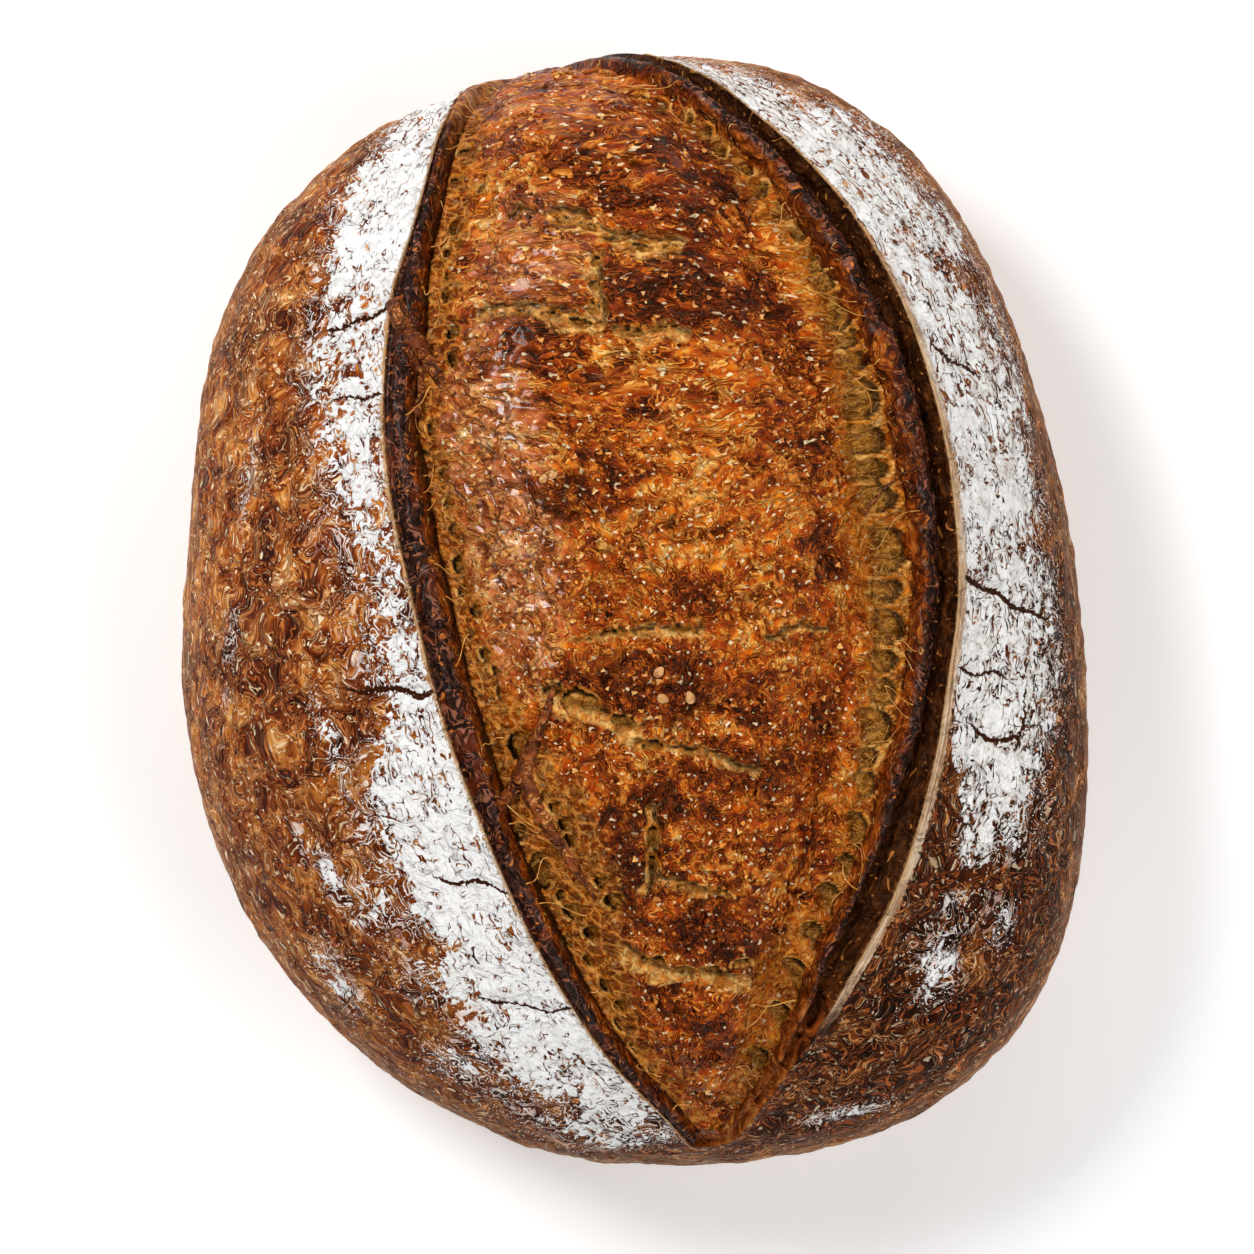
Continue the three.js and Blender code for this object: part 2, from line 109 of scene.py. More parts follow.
RIGHT_WALL = [
    (-128, 1.6), (-102, 2.6), (-92, 4.6), (-73, 7), (-64, 7), (-54, 6), (-35, 4.2), (-16, 2.9), (0, 3),
    (26, 2.9), (45, 2.3), (60, 2.3), (72, 2.9), (92, 2.7), (107, 2.3), (125, 1.9), (146, 1.6)]
RIGHT_RIDGE = [
    (-128, 3.2), (-110, 4.2), (-102, 5.2), (-92, 7.4), (-83, 9.4), (-70, 9.6), (-54, 9.4), (-39, 10.2),
    (-30, 9.0), (-15, 8.8), (-5, 9.8), (5, 9.0), (15, 9.8), (26, 9.8), (40, 11.2), (54, 10.0), (67, 10.2),
    (86, 10.2), (97, 9.6), (111, 7.6), (120, 7.4), (135, 5), (146, 3.5)]
WINDOWS = [
    (-124, 4), (-112, 8), (-102, 12), (-92, 13), (-82, 8), (-70, 6), (-62, 5.5), (-50, 7.5), (-40, 7.5),
    (-31, 9.5), (-21, 10), (-9, 10), (2, 15), (17, 17), (36, 14.5), (50, 12), (74, 11), (88, 8.5),
    (97, 6.5), (107, 8.5), (125, 5)]
# The same ends as places on the profiles above.
LEFT_END, WALL_END, RIDGE_END = 7.0, 5.4, 12.6
# Between these shares of the way across, the left side's shapes give way to the right side's.
MEETING = (0.3, 0.7)
# Broad swellings of the belly: x, y, radius, height.
LUMPS = [
    (5, 72, 13, 1.1), (16, 105, 22, 1.2), (-25, 105, 18, 1.0), (-26, 28, 20, 1.6), (20, 25, 26, 1.0),
    (0, -18, 17, 1.7), (24, -48, 22, 1.4), (-8, -40, 12, 1.3), (10, -72, 14, 1.5), (14, -100, 15, 1.5)]
LUMP_CORE = 0.6
# Waves as (span, height), and how far the belly as a whole lies below its waves.
CRUST_WAVES = [(60, 1.4), (22, 0.5)]
BELLY_WAVES = [(24, 1.1), (9, 0.6)]
BELLY_SINK = 0.35
# Relief fades out below this height, so that the loaf stands on a flat base.
CALM_HEIGHT = 12.0
NOISE_SEED = 11

# %% [markdown]
# ## Curves and unevenness
# A smooth step and a smooth curve through knots do most of the shaping. Unevenness is a lattice of numbers
# blended in space, the usual value noise. Cells are the bubbles of the dough: every point belongs to the
# nearest centre, and where two centres are about equally far a thin wall of dough stands.

# %% Smooth steps, profiles, unevenness and cells
def ease(low, high, x):
    t = np.clip((x - low) / (high - low), 0, 1)
    return t * t * (3 - 2 * t)


def profile(knots, distance):
    """A height read off a smooth curve through (distance, height) knots, level at both ends."""
    at, height = np.array(knots, float).T
    slope = np.zeros(len(at))
    slope[1:-1] = (height[2:] - height[:-2]) / (at[2:] - at[:-2])
    x = np.clip(distance, at[0], at[-1])
    i = np.clip(np.searchsorted(at, x, side="right") - 1, 0, len(at) - 2)
    span = at[i + 1] - at[i]
    t = (x - at[i]) / span
    rise = height[i] + (height[i + 1] - height[i]) * ease(0, 1, t)
    return rise + span * (slope[i] * t * (1 - t) ** 2 - slope[i + 1] * t * t * (1 - t))


def steps(knots, x):
    """A value joined by straight lines through (place, value) knots."""
    at, value = np.array(knots, float).T
    return np.interp(x, at, value)


def lattice(i, j, k, seed=0):
    wave = np.sin(i * 127.1 + j * 311.7 + k * 74.7 + NOISE_SEED + seed) * 43758.5453
    return 2 * (wave - np.floor(wave)) - 1


def unevenness(points, span, seed=0):
    """Smooth numbers between -1 and 1; span is one size or one for each axis."""
    scaled = points / np.asarray(span, float)
    corner = np.floor(scaled)
    u, v, w = ease(0, 1, scaled - corner).T
    i, j, k = corner.T

    def along(dj, dk):
        start = lattice(i, j + dj, k + dk, seed)
        return start + (lattice(i + 1, j + dj, k + dk, seed) - start) * u

    near = along(0, 0) + (along(1, 0) - along(0, 0)) * v
    far = along(0, 1) + (along(1, 1) - along(0, 1)) * v
    return near + (far - near) * w


def waves(kinds, points):
    return sum(height * unevenness(points, span) for span, height in kinds)


def drift_of(points, span, seed):
    """Two unevennesses side by side, to shift places seen from above."""
    return np.stack([unevenness(points, span, seed), unevenness(points, span, seed + 1)], 1)


def turned(offsets, degrees):
    """Offsets seen from above, measured along and across a direction that is turned by so many degrees."""
    c, s = math.cos(math.radians(degrees)), math.sin(math.radians(degrees))
    dx, dy = offsets.T
    return dx * c + dy * s, dy * c - dx * s


def mixed(a, b, share):
    return a + (b - a) * share


def creases(points, span, seed=0):
    """Narrow crests between 0 and 1, where the unevenness passes through zero."""
    return np.clip(1 - np.abs(unevenness(points, span, seed)) / 0.35, 0, 1)


def cells(u, v, seed=0, jitter=0.8):
    """The distance from the nearest wall, a number for each cell, and a tilt, for places in cell units.

    The tilt is the place within the cell along a direction of the cell's own, so it rises from one side of
    the cell to the other like an overlapping flake.
    """
    column, row = np.floor(u), np.floor(v)
    first, second = np.full(u.shape, 9.0), np.full(u.shape, 9.0)
    tag, tilt = np.zeros(u.shape), np.zeros(u.shape)
    for di in (-1, 0, 1):
        for dj in (-1, 0, 1):
            i, j = column + di, row + dj
            du = u - (i + 0.5 + 0.5 * jitter * lattice(i, j, 0, seed))
            dv = v - (j + 0.5 + 0.5 * jitter * lattice(i, j, 9, seed))
            distance = np.hypot(du, dv)
            closer = distance < first
            second = np.where(closer, first, np.minimum(second, distance))
            turn = np.pi * lattice(i, j, 7, seed)
            tag = np.where(closer, lattice(i, j, 5, seed), tag)
            tilt = np.where(closer, du * np.cos(turn) + dv * np.sin(turn), tilt)
            first = np.where(closer, distance, first)
    return second - first, tag, tilt


# %% [markdown]
# ## The dome
# The crust is worked on a chart: unrolled flat round the crown, so that distances on it are nearly true and
# no pole pinches the mesh. One function takes a place on the chart to the dome, and one goes from a place
# seen from above to the chart.

# %% The dome and its chart
def outline_radius(azimuth):
    turn = 2 * np.pi * np.arange(len(OUTLINE_RADII)) / len(OUTLINE_RADII)
    radius = np.zeros(np.shape(azimuth))
    for wave in range(OUTLINE_HARMONICS + 1):
        weight = (1 if wave == 0 else 2) / len(OUTLINE_RADII)
        radius = radius + weight * (OUTLINE_RADII @ np.cos(wave * turn)) * np.cos(wave * azimuth)
        radius = radius + weight * (OUTLINE_RADII @ np.sin(wave * turn)) * np.sin(wave * azimuth)
    return radius


def chart_from_above(places):
    x, y = np.asarray(places, float).T
    azimuth = np.arctan2(y, x)
    radius = outline_radius(azimuth)
    reach = np.hypot(x, y) / radius
    tilt = np.arcsin(np.minimum(reach, 1) ** (SHOULDER / 2)) / (np.pi / 2)
    rest = 1 - CROWN_PACE
    inside = (np.sqrt(CROWN_PACE ** 2 + 4 * rest * tilt) - CROWN_PACE) / (2 * rest)
    share = np.where(reach < 1, inside, 1 + (reach - 1) / UNROLL)
    return (share * UNROLL * radius)[:, None] * np.stack([np.cos(azimuth), np.sin(azimuth)], 1)


def dome_point(chart):
    azimuth = np.arctan2(chart[:, 1], chart[:, 0])
    radius = outline_radius(azimuth)
    share = np.hypot(*chart.T) / (UNROLL * radius)
    tilt = np.pi / 2 * share * (CROWN_PACE + (1 - CROWN_PACE) * share)
    turn = np.pi / 2 * np.clip((share - 1) / SIDE_SHARE, 0, 1)
    upper = share <= 1
    reach = np.where(upper, np.sin(np.clip(tilt, 0, np.pi / 2)) ** (2 / SHOULDER),
                     BASE_SHARE + (1 - BASE_SHARE) * np.cos(turn))
    height = np.where(upper, WIDEST_HEIGHT + (DOME_HEIGHT - WIDEST_HEIGHT) * np.cos(tilt),
                      WIDEST_HEIGHT * (1 - np.sin(turn)))
    return np.stack([reach * radius * np.cos(azimuth), reach * radius * np.sin(azimuth), height], 1)


def dome_normal(chart, step=0.5):
    right, far = np.array([step, 0]), np.array([0, step])
    across = dome_point(chart + right) - dome_point(chart - right)
    up = dome_point(chart + far) - dome_point(chart - far)
    normal = np.cross(across, up)
    return normal / np.linalg.norm(normal, axis=1, keepdims=True)


# %% [markdown]
# ## The lips of the score
# Each lip is one smooth curve through its places. The centripetal Catmull-Rom curve never loops or
# overshoots between knots that lie unevenly, which a plain one would. Points along it are spaced evenly on
# the chart.

# %% Both lips as fine curves
ROWS = 420


def smooth_curve(knots, count):
    """Evenly spaced points on a centripetal Catmull-Rom curve through the knots."""
    ends = [2 * knots[0] - knots[1]], [2 * knots[-1] - knots[-2]]
    points = np.vstack([ends[0], knots, ends[1]])
    t = np.linspace(0, 1, 60, endpoint=False)[:, None]
    dense = []
    for p0, p1, p2, p3 in zip(points, points[1:], points[2:], points[3:]):
        d0, d1, d2 = (np.sqrt(np.linalg.norm(b - a)) for a, b in ((p0, p1), (p1, p2), (p2, p3)))
        start = ((p1 - p0) / d0 - (p2 - p0) / (d0 + d1) + (p2 - p1) / d1) * d1
        end = ((p2 - p1) / d1 - (p3 - p1) / (d1 + d2) + (p3 - p2) / d2) * d1
        dense.append(p1 + start * t + (3 * (p2 - p1) - 2 * start - end) * t ** 2
                     + (2 * (p1 - p2) + start + end) * t ** 3)
    dense = np.vstack([*dense, knots[-1:]])
    length = np.concatenate([[0], np.cumsum(np.linalg.norm(np.diff(dense, axis=0), axis=1))])
    even = np.linspace(0, length[-1], count + 1)
    return np.stack([np.interp(even, length, column) for column in dense.T], 1)


left_lip = smooth_curve(chart_from_above(LEFT_LIP), ROWS)
right_lip = smooth_curve(chart_from_above(RIGHT_LIP), ROWS)
left_edge = dome_point(left_lip)
right_edge = dome_point(right_lip)
opening_width = np.linalg.norm(left_edge - right_edge, axis=1)
band_sizes = np.clip(opening_width / FULL_WIDTH, LEAST_SIZE, 1)
lip_length = [np.linalg.norm(np.diff(edge, axis=0), axis=1).sum() for edge in (left_edge, right_edge)]
print("lips", [round(x) for x in lip_length], "mm long, opening", round(opening_width.max()), "mm wide")


def nearest_on(edge, points):
    """Distance to a lip and the place along it, in rows."""
    found = np.empty(len(points), int)
    for start in range(0, len(points), 20000):
        block = points[start:start + 20000]
        apart = (edge ** 2).sum(1) - 2 * block @ edge.T
        found[start:start + 20000] = apart.argmin(1)
    best, place = np.full(len(points), np.inf), np.zeros(len(points))
    for first in (np.maximum(found - 1, 0), np.minimum(found, len(edge) - 2)):
        a, b = edge[first], edge[first + 1]
        way = b - a
        t = np.clip(((points - a) * way).sum(1) / (way ** 2).sum(1), 0, 1)
        distance = np.linalg.norm(a + way * t[:, None] - points, axis=1)
        place = np.where(distance < best, first + t, place)
        best = np.minimum(best, distance)
    return best, place


def distance_to_path(path, places):
    """Signed distance from places seen from above to a path, positive on its left, and the share along."""
    path = np.asarray(path, float)
    lengths = np.linalg.norm(np.diff(path, axis=0), axis=1)
    before = np.concatenate([[0], np.cumsum(lengths)])
    best, share = np.full(len(places), 1e9), np.zeros(len(places))
    for a, b, start, length in zip(path, path[1:], before, lengths):
        way = b - a
        t = np.clip((places - a) @ way / length ** 2, 0, 1)
        offset = places - a - t[:, None] * way
        side = np.sign(way[0] * offset[:, 1] - way[1] * offset[:, 0])
        distance = np.hypot(*offset.T) * np.where(side == 0, 1, side)
        closer = np.abs(distance) < np.abs(best)
        best = np.where(closer, distance, best)
        share = np.where(closer, (start + t * length) / before[-1], share)
    return best, share


# %% [markdown]
# ## Places on the loaf
# A class gathers what every later step asks about a set of places: the point on the dome, its outward
# direction, how far both lips are, and where along them the nearest point is. The burnt bands widen and
# narrow along the lips, so a distance is turned into a place on the band's profile, and back.

# %% What is known about a place
def left_place(distance, up):
    """The place on the left profiles of a distance from the left lip."""
    end = steps(LEFT_BAND, up)
    return np.where(distance < end, LEFT_END * distance / end, LEFT_END + distance - end)


def left_distance(place, up):
    end = steps(LEFT_BAND, up)
    return np.where(place < LEFT_END, place * end / LEFT_END, place - LEFT_END + end)


def right_place(distance, up):
    wall, ridge = steps(RIGHT_WALL, up), steps(RIGHT_RIDGE, up)
    on_ridge = WALL_END + (RIDGE_END - WALL_END) * (distance - wall) / (ridge - wall)
    return np.where(distance < wall, WALL_END * distance / wall,
                    np.where(distance < ridge, on_ridge, RIDGE_END + distance - ridge))


def right_distance(place, up):
    wall, ridge = steps(RIGHT_WALL, up), steps(RIGHT_RIDGE, up)
    on_ridge = wall + (ridge - wall) * (place - WALL_END) / (RIDGE_END - WALL_END)
    return np.where(place < WALL_END, place * wall / WALL_END,
                    np.where(place < RIDGE_END, on_ridge, place - RIDGE_END + ridge))


class Places:
    def __init__(self, chart):
        self.dome = dome_point(chart)
        self.normal = dome_normal(chart)
        self.above = self.dome[:, :2]
        self.left, self.left_row = nearest_on(left_edge, self.dome)
        self.right, self.right_row = nearest_on(right_edge, self.dome)
        rows = np.arange(ROWS + 1)
        self.left_size = np.interp(self.left_row, rows, band_sizes)
        self.right_size = np.interp(self.right_row, rows, band_sizes)
        self.left_up = np.interp(self.left_row, rows, left_edge[:, 1])
        self.right_up = np.interp(self.right_row, rows, right_edge[:, 1])
        # Places on the profiles: the burnt bands' beside a lip, and the belly's farther in.
        self.left_burn = left_place(self.left, self.left_up)
        self.right_burn = right_place(self.right, self.right_up)
        self.left_in = mixed(self.left_burn, self.left / self.left_size, ease(10, 24, self.left_burn))
        self.right_in = mixed(self.right_burn, self.right / self.right_size, ease(13, 28, self.right_burn))
        self.left_along = self.left_row / ROWS * lip_length[0]
        self.right_along = self.right_row / ROWS * lip_length[1]
        across = self.left / np.maximum(self.left + self.right, 1e-9)
        self.rightness = ease(*MEETING, across)
        self.on_right = self.right < self.left

    def lifted(self, height):
        """Points at a height over the dome."""
        fade = ease(0, CALM_HEIGHT, self.dome[:, 2])
        return self.dome + self.normal * (height * fade)[:, None]


# %% [markdown]
# ## Where the flour lies
# Flour stays where the loaf was dusted along both sides of the score. For each lip it is given as the strip
# outwards from it, at several heights up the loaf, with how thickly it lies. A few loose patches are added.

# %% Flour strips, patches and cracks
# Beside each lip: the height up the loaf, where the strip starts and ends, and its thickness.
LEFT_FLOUR = [
    (-140, 1, 10, 0.0), (-128, 1, 20, 0.0), (-124, 1, 34, 0.54), (-112, 0, 40, 0.7), (-92, 0, 40, 1.0),
    (-70, 0, 37, 1.02), (-48, 0, 31, 1.0), (-28, 0, 25, 0.95), (-15, 0, 22, 0.74), (0, 0, 22, 0.56),
    (20, 0, 25, 0.55), (38, 0, 26, 0.6), (50, 0, 26, 0.7), (60, 0, 25, 0.8), (68, 0, 25, 0.9),
    (80, 0, 25, 1.0), (92, 0, 28, 1.05), (105, 0, 27, 1.05), (116, 0, 21, 0.95), (126, 0, 13, 0.8),
    (134, 0, 6, 0.5)]
RIGHT_FLOUR = [
    (-140, 4, 10, 0.0), (-86, 6, 24, 0.0), (-74, 14, 36, 0.25), (-60, 13, 38, 0.5), (-48, 10, 38, 0.82),
    (-34, 5, 37, 0.95), (-18, 2.5, 36, 0.95), (0, 2, 35, 0.95), (26, 2, 35, 0.95), (50, 1.6, 36, 0.93),
    (70, 1.2, 36, 0.9), (88, 1, 33, 0.94), (104, 0.6, 29, 1.02), (118, 0.3, 23, 1.0), (128, 0, 16, 0.9),
    (135, 0, 9, 0.5)]
# Loose patches: x, y, half-length, half-width, turn in degrees, thickness.
FLOUR_PATCHES = [
    (72, -83, 14, 7, 60, 0.64), (51, -120, 13, 2.2, 12, 0.7), (87, -75, 9, 4, 60, 0.56),
    (-71, -88, 14, 5, -58, 0.52), (-60, -70, 10, 5, -60, 0.5), (-44, -108, 12, 5, -30, 0.52),
    (-70.5, -33, 17, 3.4, -68, 0.54), (-72, -63, 16, 3.6, -56, 0.54), (-12, -118, 22, 4, -12, 0.75),
    (83, -52, 9, 4, 80, 0.4), (-96, -10, 14, 2.4, 86, 0.4), (-92, 30, 16, 2.2, 84, 0.4)]
# Cracks that run across the crust from a lip: a path seen from above and a width.
CRACKS = [
    ([(-58, 70), (-62, 68.2), (-65, 68.4), (-69, 66.5), (-74, 66)], 1.1),
    ([(-59, 50), (-63, 49), (-67, 49.8), (-71, 49)], 0.8),
    ([(-45.5, -19), (-50, -20.5), (-54, -18.8), (-58, -18.5), (-63, -19.5), (-68, -18.8)], 1.4),
    ([(-25, -66), (-30, -65.5), (-36, -63), (-42, -64.5), (-48, -62)], 0.7),
    ([(-15, -93), (-20, -95), (-26, -93.5), (-33, -93), (-38, -91)], 0.7),
    ([(70, 61), (74, 58), (78, 57.5), (82, 54)], 0.9),
    ([(78, 7), (82, 4.5), (86, 4), (90, 0.5), (95, -0.5), (101, -4)], 1.2),
    ([(76, -14), (80, -16), (85, -14.5), (89, -17)], 0.7),
    ([(80, -28), (84, -31), (89, -31), (93, -29)], 1.0),
    ([(93, -20), (92.5, -27), (91.5, -32)], 0.6),
    ([(96, -42), (95, -50), (93.5, -57)], 0.7),
    ([(58, -72), (63, -75), (70, -73), (76, -75)], 0.6)]
CRACK_REACH = 4.0


def flour_on(at):
    """How thickly flour lies."""
    spread = unevenness(at.dome, 13, 3) * 4.5 + unevenness(at.dome, 5, 4) * 2.4
    amount = np.zeros(len(at.dome))
    for strips, distance, up, mine in ((LEFT_FLOUR, at.left, at.left_up, ~at.on_right),
                                       (RIGHT_FLOUR, at.right, at.right_up, at.on_right)):
        height, start, end, thick = np.array(strips).T
        low, high, most = (np.interp(up, height, column) for column in (start, end, thick))
        strip = ease(-1.0, 1.0, distance - low + spread * ease(3, 8, low))
        strip = strip * ease(9.0, -15.0, distance - high + spread)
        share = (distance + 0.6 * spread) / high
        most = most * (1 - (0.1 + 0.34 * ease(-30, -60, up)) * ease(0.4, 0.75, share))
        amount = np.maximum(amount, np.where(mine, most * strip, 0))
    for x, y, length, width, turn, thick in FLOUR_PATCHES:
        ahead, aside = turned(at.above - (x, y), turn)
        reach = np.hypot(ahead / length, aside / width) + spread / 16
        amount = np.maximum(amount, thick * ease(1.5, 0.3, reach))
    bare = ease(-0.25, -0.75, unevenness(at.dome, (16, 8, 16), 5)) * 0.35
    return np.clip(amount - bare * (amount > 0), 0, 1.1) * ease(17, 30, at.dome[:, 2])


def cracks_on(at):
    """Signed distance to the nearest crack, its width, and 1 close to it fading to 0."""
    offset, width, near = np.full(len(at.dome), 9.0), np.ones(len(at.dome)), np.zeros(len(at.dome))
    for path, wide in CRACKS:
        distance, share = distance_to_path(path, at.above)
        closer = np.abs(distance) < np.abs(offset)
        taper = ease(1.0, 0.75, share) * 0.75 + 0.25
        offset = np.where(closer, distance, offset)
        width = np.where(closer, wide * taper, width)
        near = np.where(closer, ease(CRACK_REACH + 1.5, CRACK_REACH, np.abs(distance)), near)
    return offset, width, near


# %% [markdown]
# ## Mesh helpers
# A grid of points becomes quads by joining neighbours. Every mesh is made at the origin with its place in
# its points.

# %% Grids to meshes
def grid_quads(ids, closed=False):
    """Quads between neighbouring rows and columns of a grid of vertex numbers."""
    if closed:
        ids = np.concatenate([ids, ids[:, :1]], 1)
    return np.stack([ids[:-1, :-1], ids[1:, :-1], ids[1:, 1:], ids[:-1, 1:]], -1).reshape(-1, 4)


def make_mesh(name, points, faces):
    mesh = bpy.data.meshes.new(name)
    mesh.from_pydata((np.asarray(points) * MM).tolist(), [], [list(face) for face in faces])
    mesh.validate()
    mesh.shade_smooth()
    piece = bpy.data.objects.new(name, mesh)
    bpy.context.scene.collection.objects.link(piece)
    triangles = sum(len(face) - 2 for face in faces)
    print(f"{name}: {len(points)} points, {triangles} triangles")
    return piece


def add_numbers(piece, **numbers):
    """Stores one value or one vector for each point of a piece."""
    for name, values in numbers.items():
        kind = "FLOAT" if values.ndim == 1 else "FLOAT_VECTOR"
        made = piece.data.attributes.new(name, kind, "POINT")
        made.data.foreach_set("value" if values.ndim == 1 else "vector", values.astype(np.float32).ravel())


# %% [markdown]
# ## The crust
# The crust is everything outside the score, with both lips and the burnt bands just inside them. On the
# real loaf the lips dried and charred first, because they stood up into the oven's heat. It is one closed
# mesh: rings run from the lips down to the flat base, and rows run across the opening, packed closely at
# the lips. The floor of the opening lies hidden under the belly.

# %% Relief of the crust
def calm_end(at):
    """Towards 1 at the far end, where the score runs out in a smooth skin."""
    return ease(104, 130, at.above[:, 1]) * ease(12, -16, at.above[:, 0])


def lip_band(at, side):
    """Height of the crust inside one lip, over the dome."""
    left = side == "left"
    distance, size = (at.left, at.left_size) if left else (at.right, at.right_size)
    burn = at.left_burn if left else at.right_burn
    ragged = 0.8 * unevenness(at.dome, 4.5, 21) + 0.45 * unevenness(at.dome, 1.9, 22)
    inward = burn + ragged * ease(4, 7, burn)
    knots = LEFT_CRUST if left else RIGHT_CRUST
    height = np.sqrt(size) * profile(knots, inward)
    along = at.left_along if left else at.right_along
    lengthwise = np.stack([along / 5.0, distance, np.zeros(len(distance))], 1)
    fibres = unevenness(lengthwise, 1, 23)
    if left:
        on_ridge = ease(1, 2.5, inward) * ease(8.5, 7, inward)
        rough = (0.75 * unevenness(at.dome, 8, 24) + 0.4 * unevenness(at.dome, 2.6, 25)
                 + 0.3 * fibres + 0.2 * unevenness(at.dome, 1.2, 26))
    else:
        on_ridge = ease(6.0, 7.2, inward) * ease(13.5, 12, inward)
        rough = (1.1 * unevenness(at.dome, 7, 24) + 0.7 * unevenness(at.dome, 2.8, 25)
                 + 0.35 * unevenness(at.dome, 1.3, 26))
    flaked = (1.5 * unevenness(at.dome, (4.2, 5.5, 4.2), 27) + 0.5 * unevenness(at.dome, 1.7, 28)) % 1
    rough = rough + 0.7 * flaked * ease(-0.3, 0.2, unevenness(at.dome, 6, 29))
    wall = 0.22 * fibres * ease(0.8, 2, inward) * (1 - on_ridge)
    relief = np.sqrt(size) * (on_ridge * rough + wall)
    return (height + relief) * (1 - 0.8 * calm_end(at) * (height > 0))


def crust_height(at):
    """Height of the crust outside the score, over the dome."""
    size = np.where(at.on_right, at.right_size, at.left_size)
    distance = np.minimum(at.left, at.right)
    ear = np.sqrt(size) * profile(EAR, distance / size) * (1 - 0.8 * calm_end(at))
    along = np.where(at.on_right, at.right_along, at.left_along)
    streaks = unevenness(np.stack([along / 26, distance / 2.6, np.zeros(len(along))], 1), 1, 31)
    low_down = ease(72, 45, at.dome[:, 2])
    blisters = 0.34 * unevenness(at.dome, 3.6, 32) + 0.2 * unevenness(at.dome, 1.8, 33)
    offset, width, near = cracks_on(at)
    wander = 0.5 * unevenness(at.dome, 2.2, 34)
    groove = near * ease(1.5 * width + 0.6, 0.3 * width, np.abs(offset + wander))
    return (ear + waves(CRUST_WAVES, at.dome) + blisters + low_down * (0.4 * streaks)
            - 0.75 * width * groove - 0.35 * ease(2, 16, distance))


def band_height(at):
    """Height of the crust inside the score, over the dome."""
    inside = mixed(lip_band(at, "left"), lip_band(at, "right"), at.rightness)
    return inside + waves(CRUST_WAVES, at.dome)


# %% [markdown]
# ## The crust's mesh
# Even squares would cut the lips into steps, so the mesh follows the lips. Across the opening its columns stand
# at fixed places on the profiles, and an edge such as the ridge's always has points on it.

# %% The crust as one closed mesh
# Places of the columns on both profiles, and the largest share of a row's way across that one side takes.
LEFT_COLUMNS = np.concatenate([[0.25, 0.5, 0.8, 1.2], np.arange(1.7, 14.3, 0.45)])
RIGHT_COLUMNS = np.concatenate([[0.25, 0.5, 0.8, 1.2], np.arange(1.7, 18.3, 0.5)])
MOST_BANDS = 0.46
LEAST_SLANT = 0.4
# Distances of the first rings from the lips, the number of rings below them, and how evenly the last one is
# spaced.
FIRST_RINGS = np.array([0.35, 0.75, 1.2, 1.7, 2.3, 3.0, 3.8, 4.7, 5.7, 6.8, 8.0])
SIDE_RINGS = 58
OUTER_SPREAD = 0.6


def angle_sine(across, along):
    cosine = (across * along).sum(1) / (np.linalg.norm(across, axis=1) * np.linalg.norm(along, axis=1))
    return np.maximum(LEAST_SLANT, np.sqrt(np.clip(1 - cosine ** 2, 0, 1)))


def slant_of(edge):
    """The sine of the angle at which each row meets a lip."""
    slant = np.full(ROWS + 1, 1.0)
    slant[1:-1] = angle_sine((right_edge - left_edge)[1:-1], edge[2:] - edge[:-2])
    return slant


# For each side: the lip, how it slants, and the distance from it of a place on its profile.
SIDES = {"left": (left_edge, slant_of(left_edge), left_distance),
         "right": (right_edge, slant_of(right_edge), right_distance)}


def column_shares(places, side, most=MOST_BANDS):
    """Shares of each row's way across, for columns at these places on the profiles beside one lip."""
    edge, slant, distance_of = SIDES[side]
    distance = distance_of(np.asarray(places)[None, :], edge[:, 1][:, None])
    shares = distance / (np.maximum(opening_width, 1e-6) * slant)[:, None]
    return shares * np.minimum(1, most / shares[:, -1:])


def inside_chart(side, rows, places):
    """Chart places at these places on the profile beside one lip, for any rows between whole ones."""
    def on_rows(values):
        return np.interp(rows, np.arange(ROWS + 1), values)

    edge, slant, distance_of = SIDES[side]
    share = distance_of(places, on_rows(edge[:, 1])) / (on_rows(opening_width) * on_rows(slant))
    if side == "right":
        share = 1 - share
    left = np.stack([on_rows(column) for column in left_lip.T], 1)
    right = np.stack([on_rows(column) for column in right_lip.T], 1)
    return left + (right - left) * share[:, None]


def outer_ring(ring):
    """The base's edge: each point of the lips' ring goes partly straight out and partly to even spacing."""
    top = np.arctan2(*left_lip[0][::-1]) % (2 * np.pi)
    bottom = np.arctan2(*left_lip[ROWS][::-1]) % (2 * np.pi)
    steps_round = np.arange(2 * ROWS)
    on_left = steps_round <= ROWS
    start, end = np.where(on_left, top, bottom - 2 * np.pi), np.where(on_left, bottom, top)
    even = start + (end - start) * np.where(on_left, steps_round, steps_round - ROWS) / ROWS
    own = np.arctan2(ring[:, 1], ring[:, 0]) % (2 * np.pi)
    own = np.where(~on_left & (own > np.pi), own - 2 * np.pi, own)
    azimuth = own + (even - own) * OUTER_SPREAD
    reach = UNROLL * outline_radius(azimuth) * (1 + SIDE_SHARE)
    return reach[:, None] * np.stack([np.cos(azimuth), np.sin(azimuth)], 1)


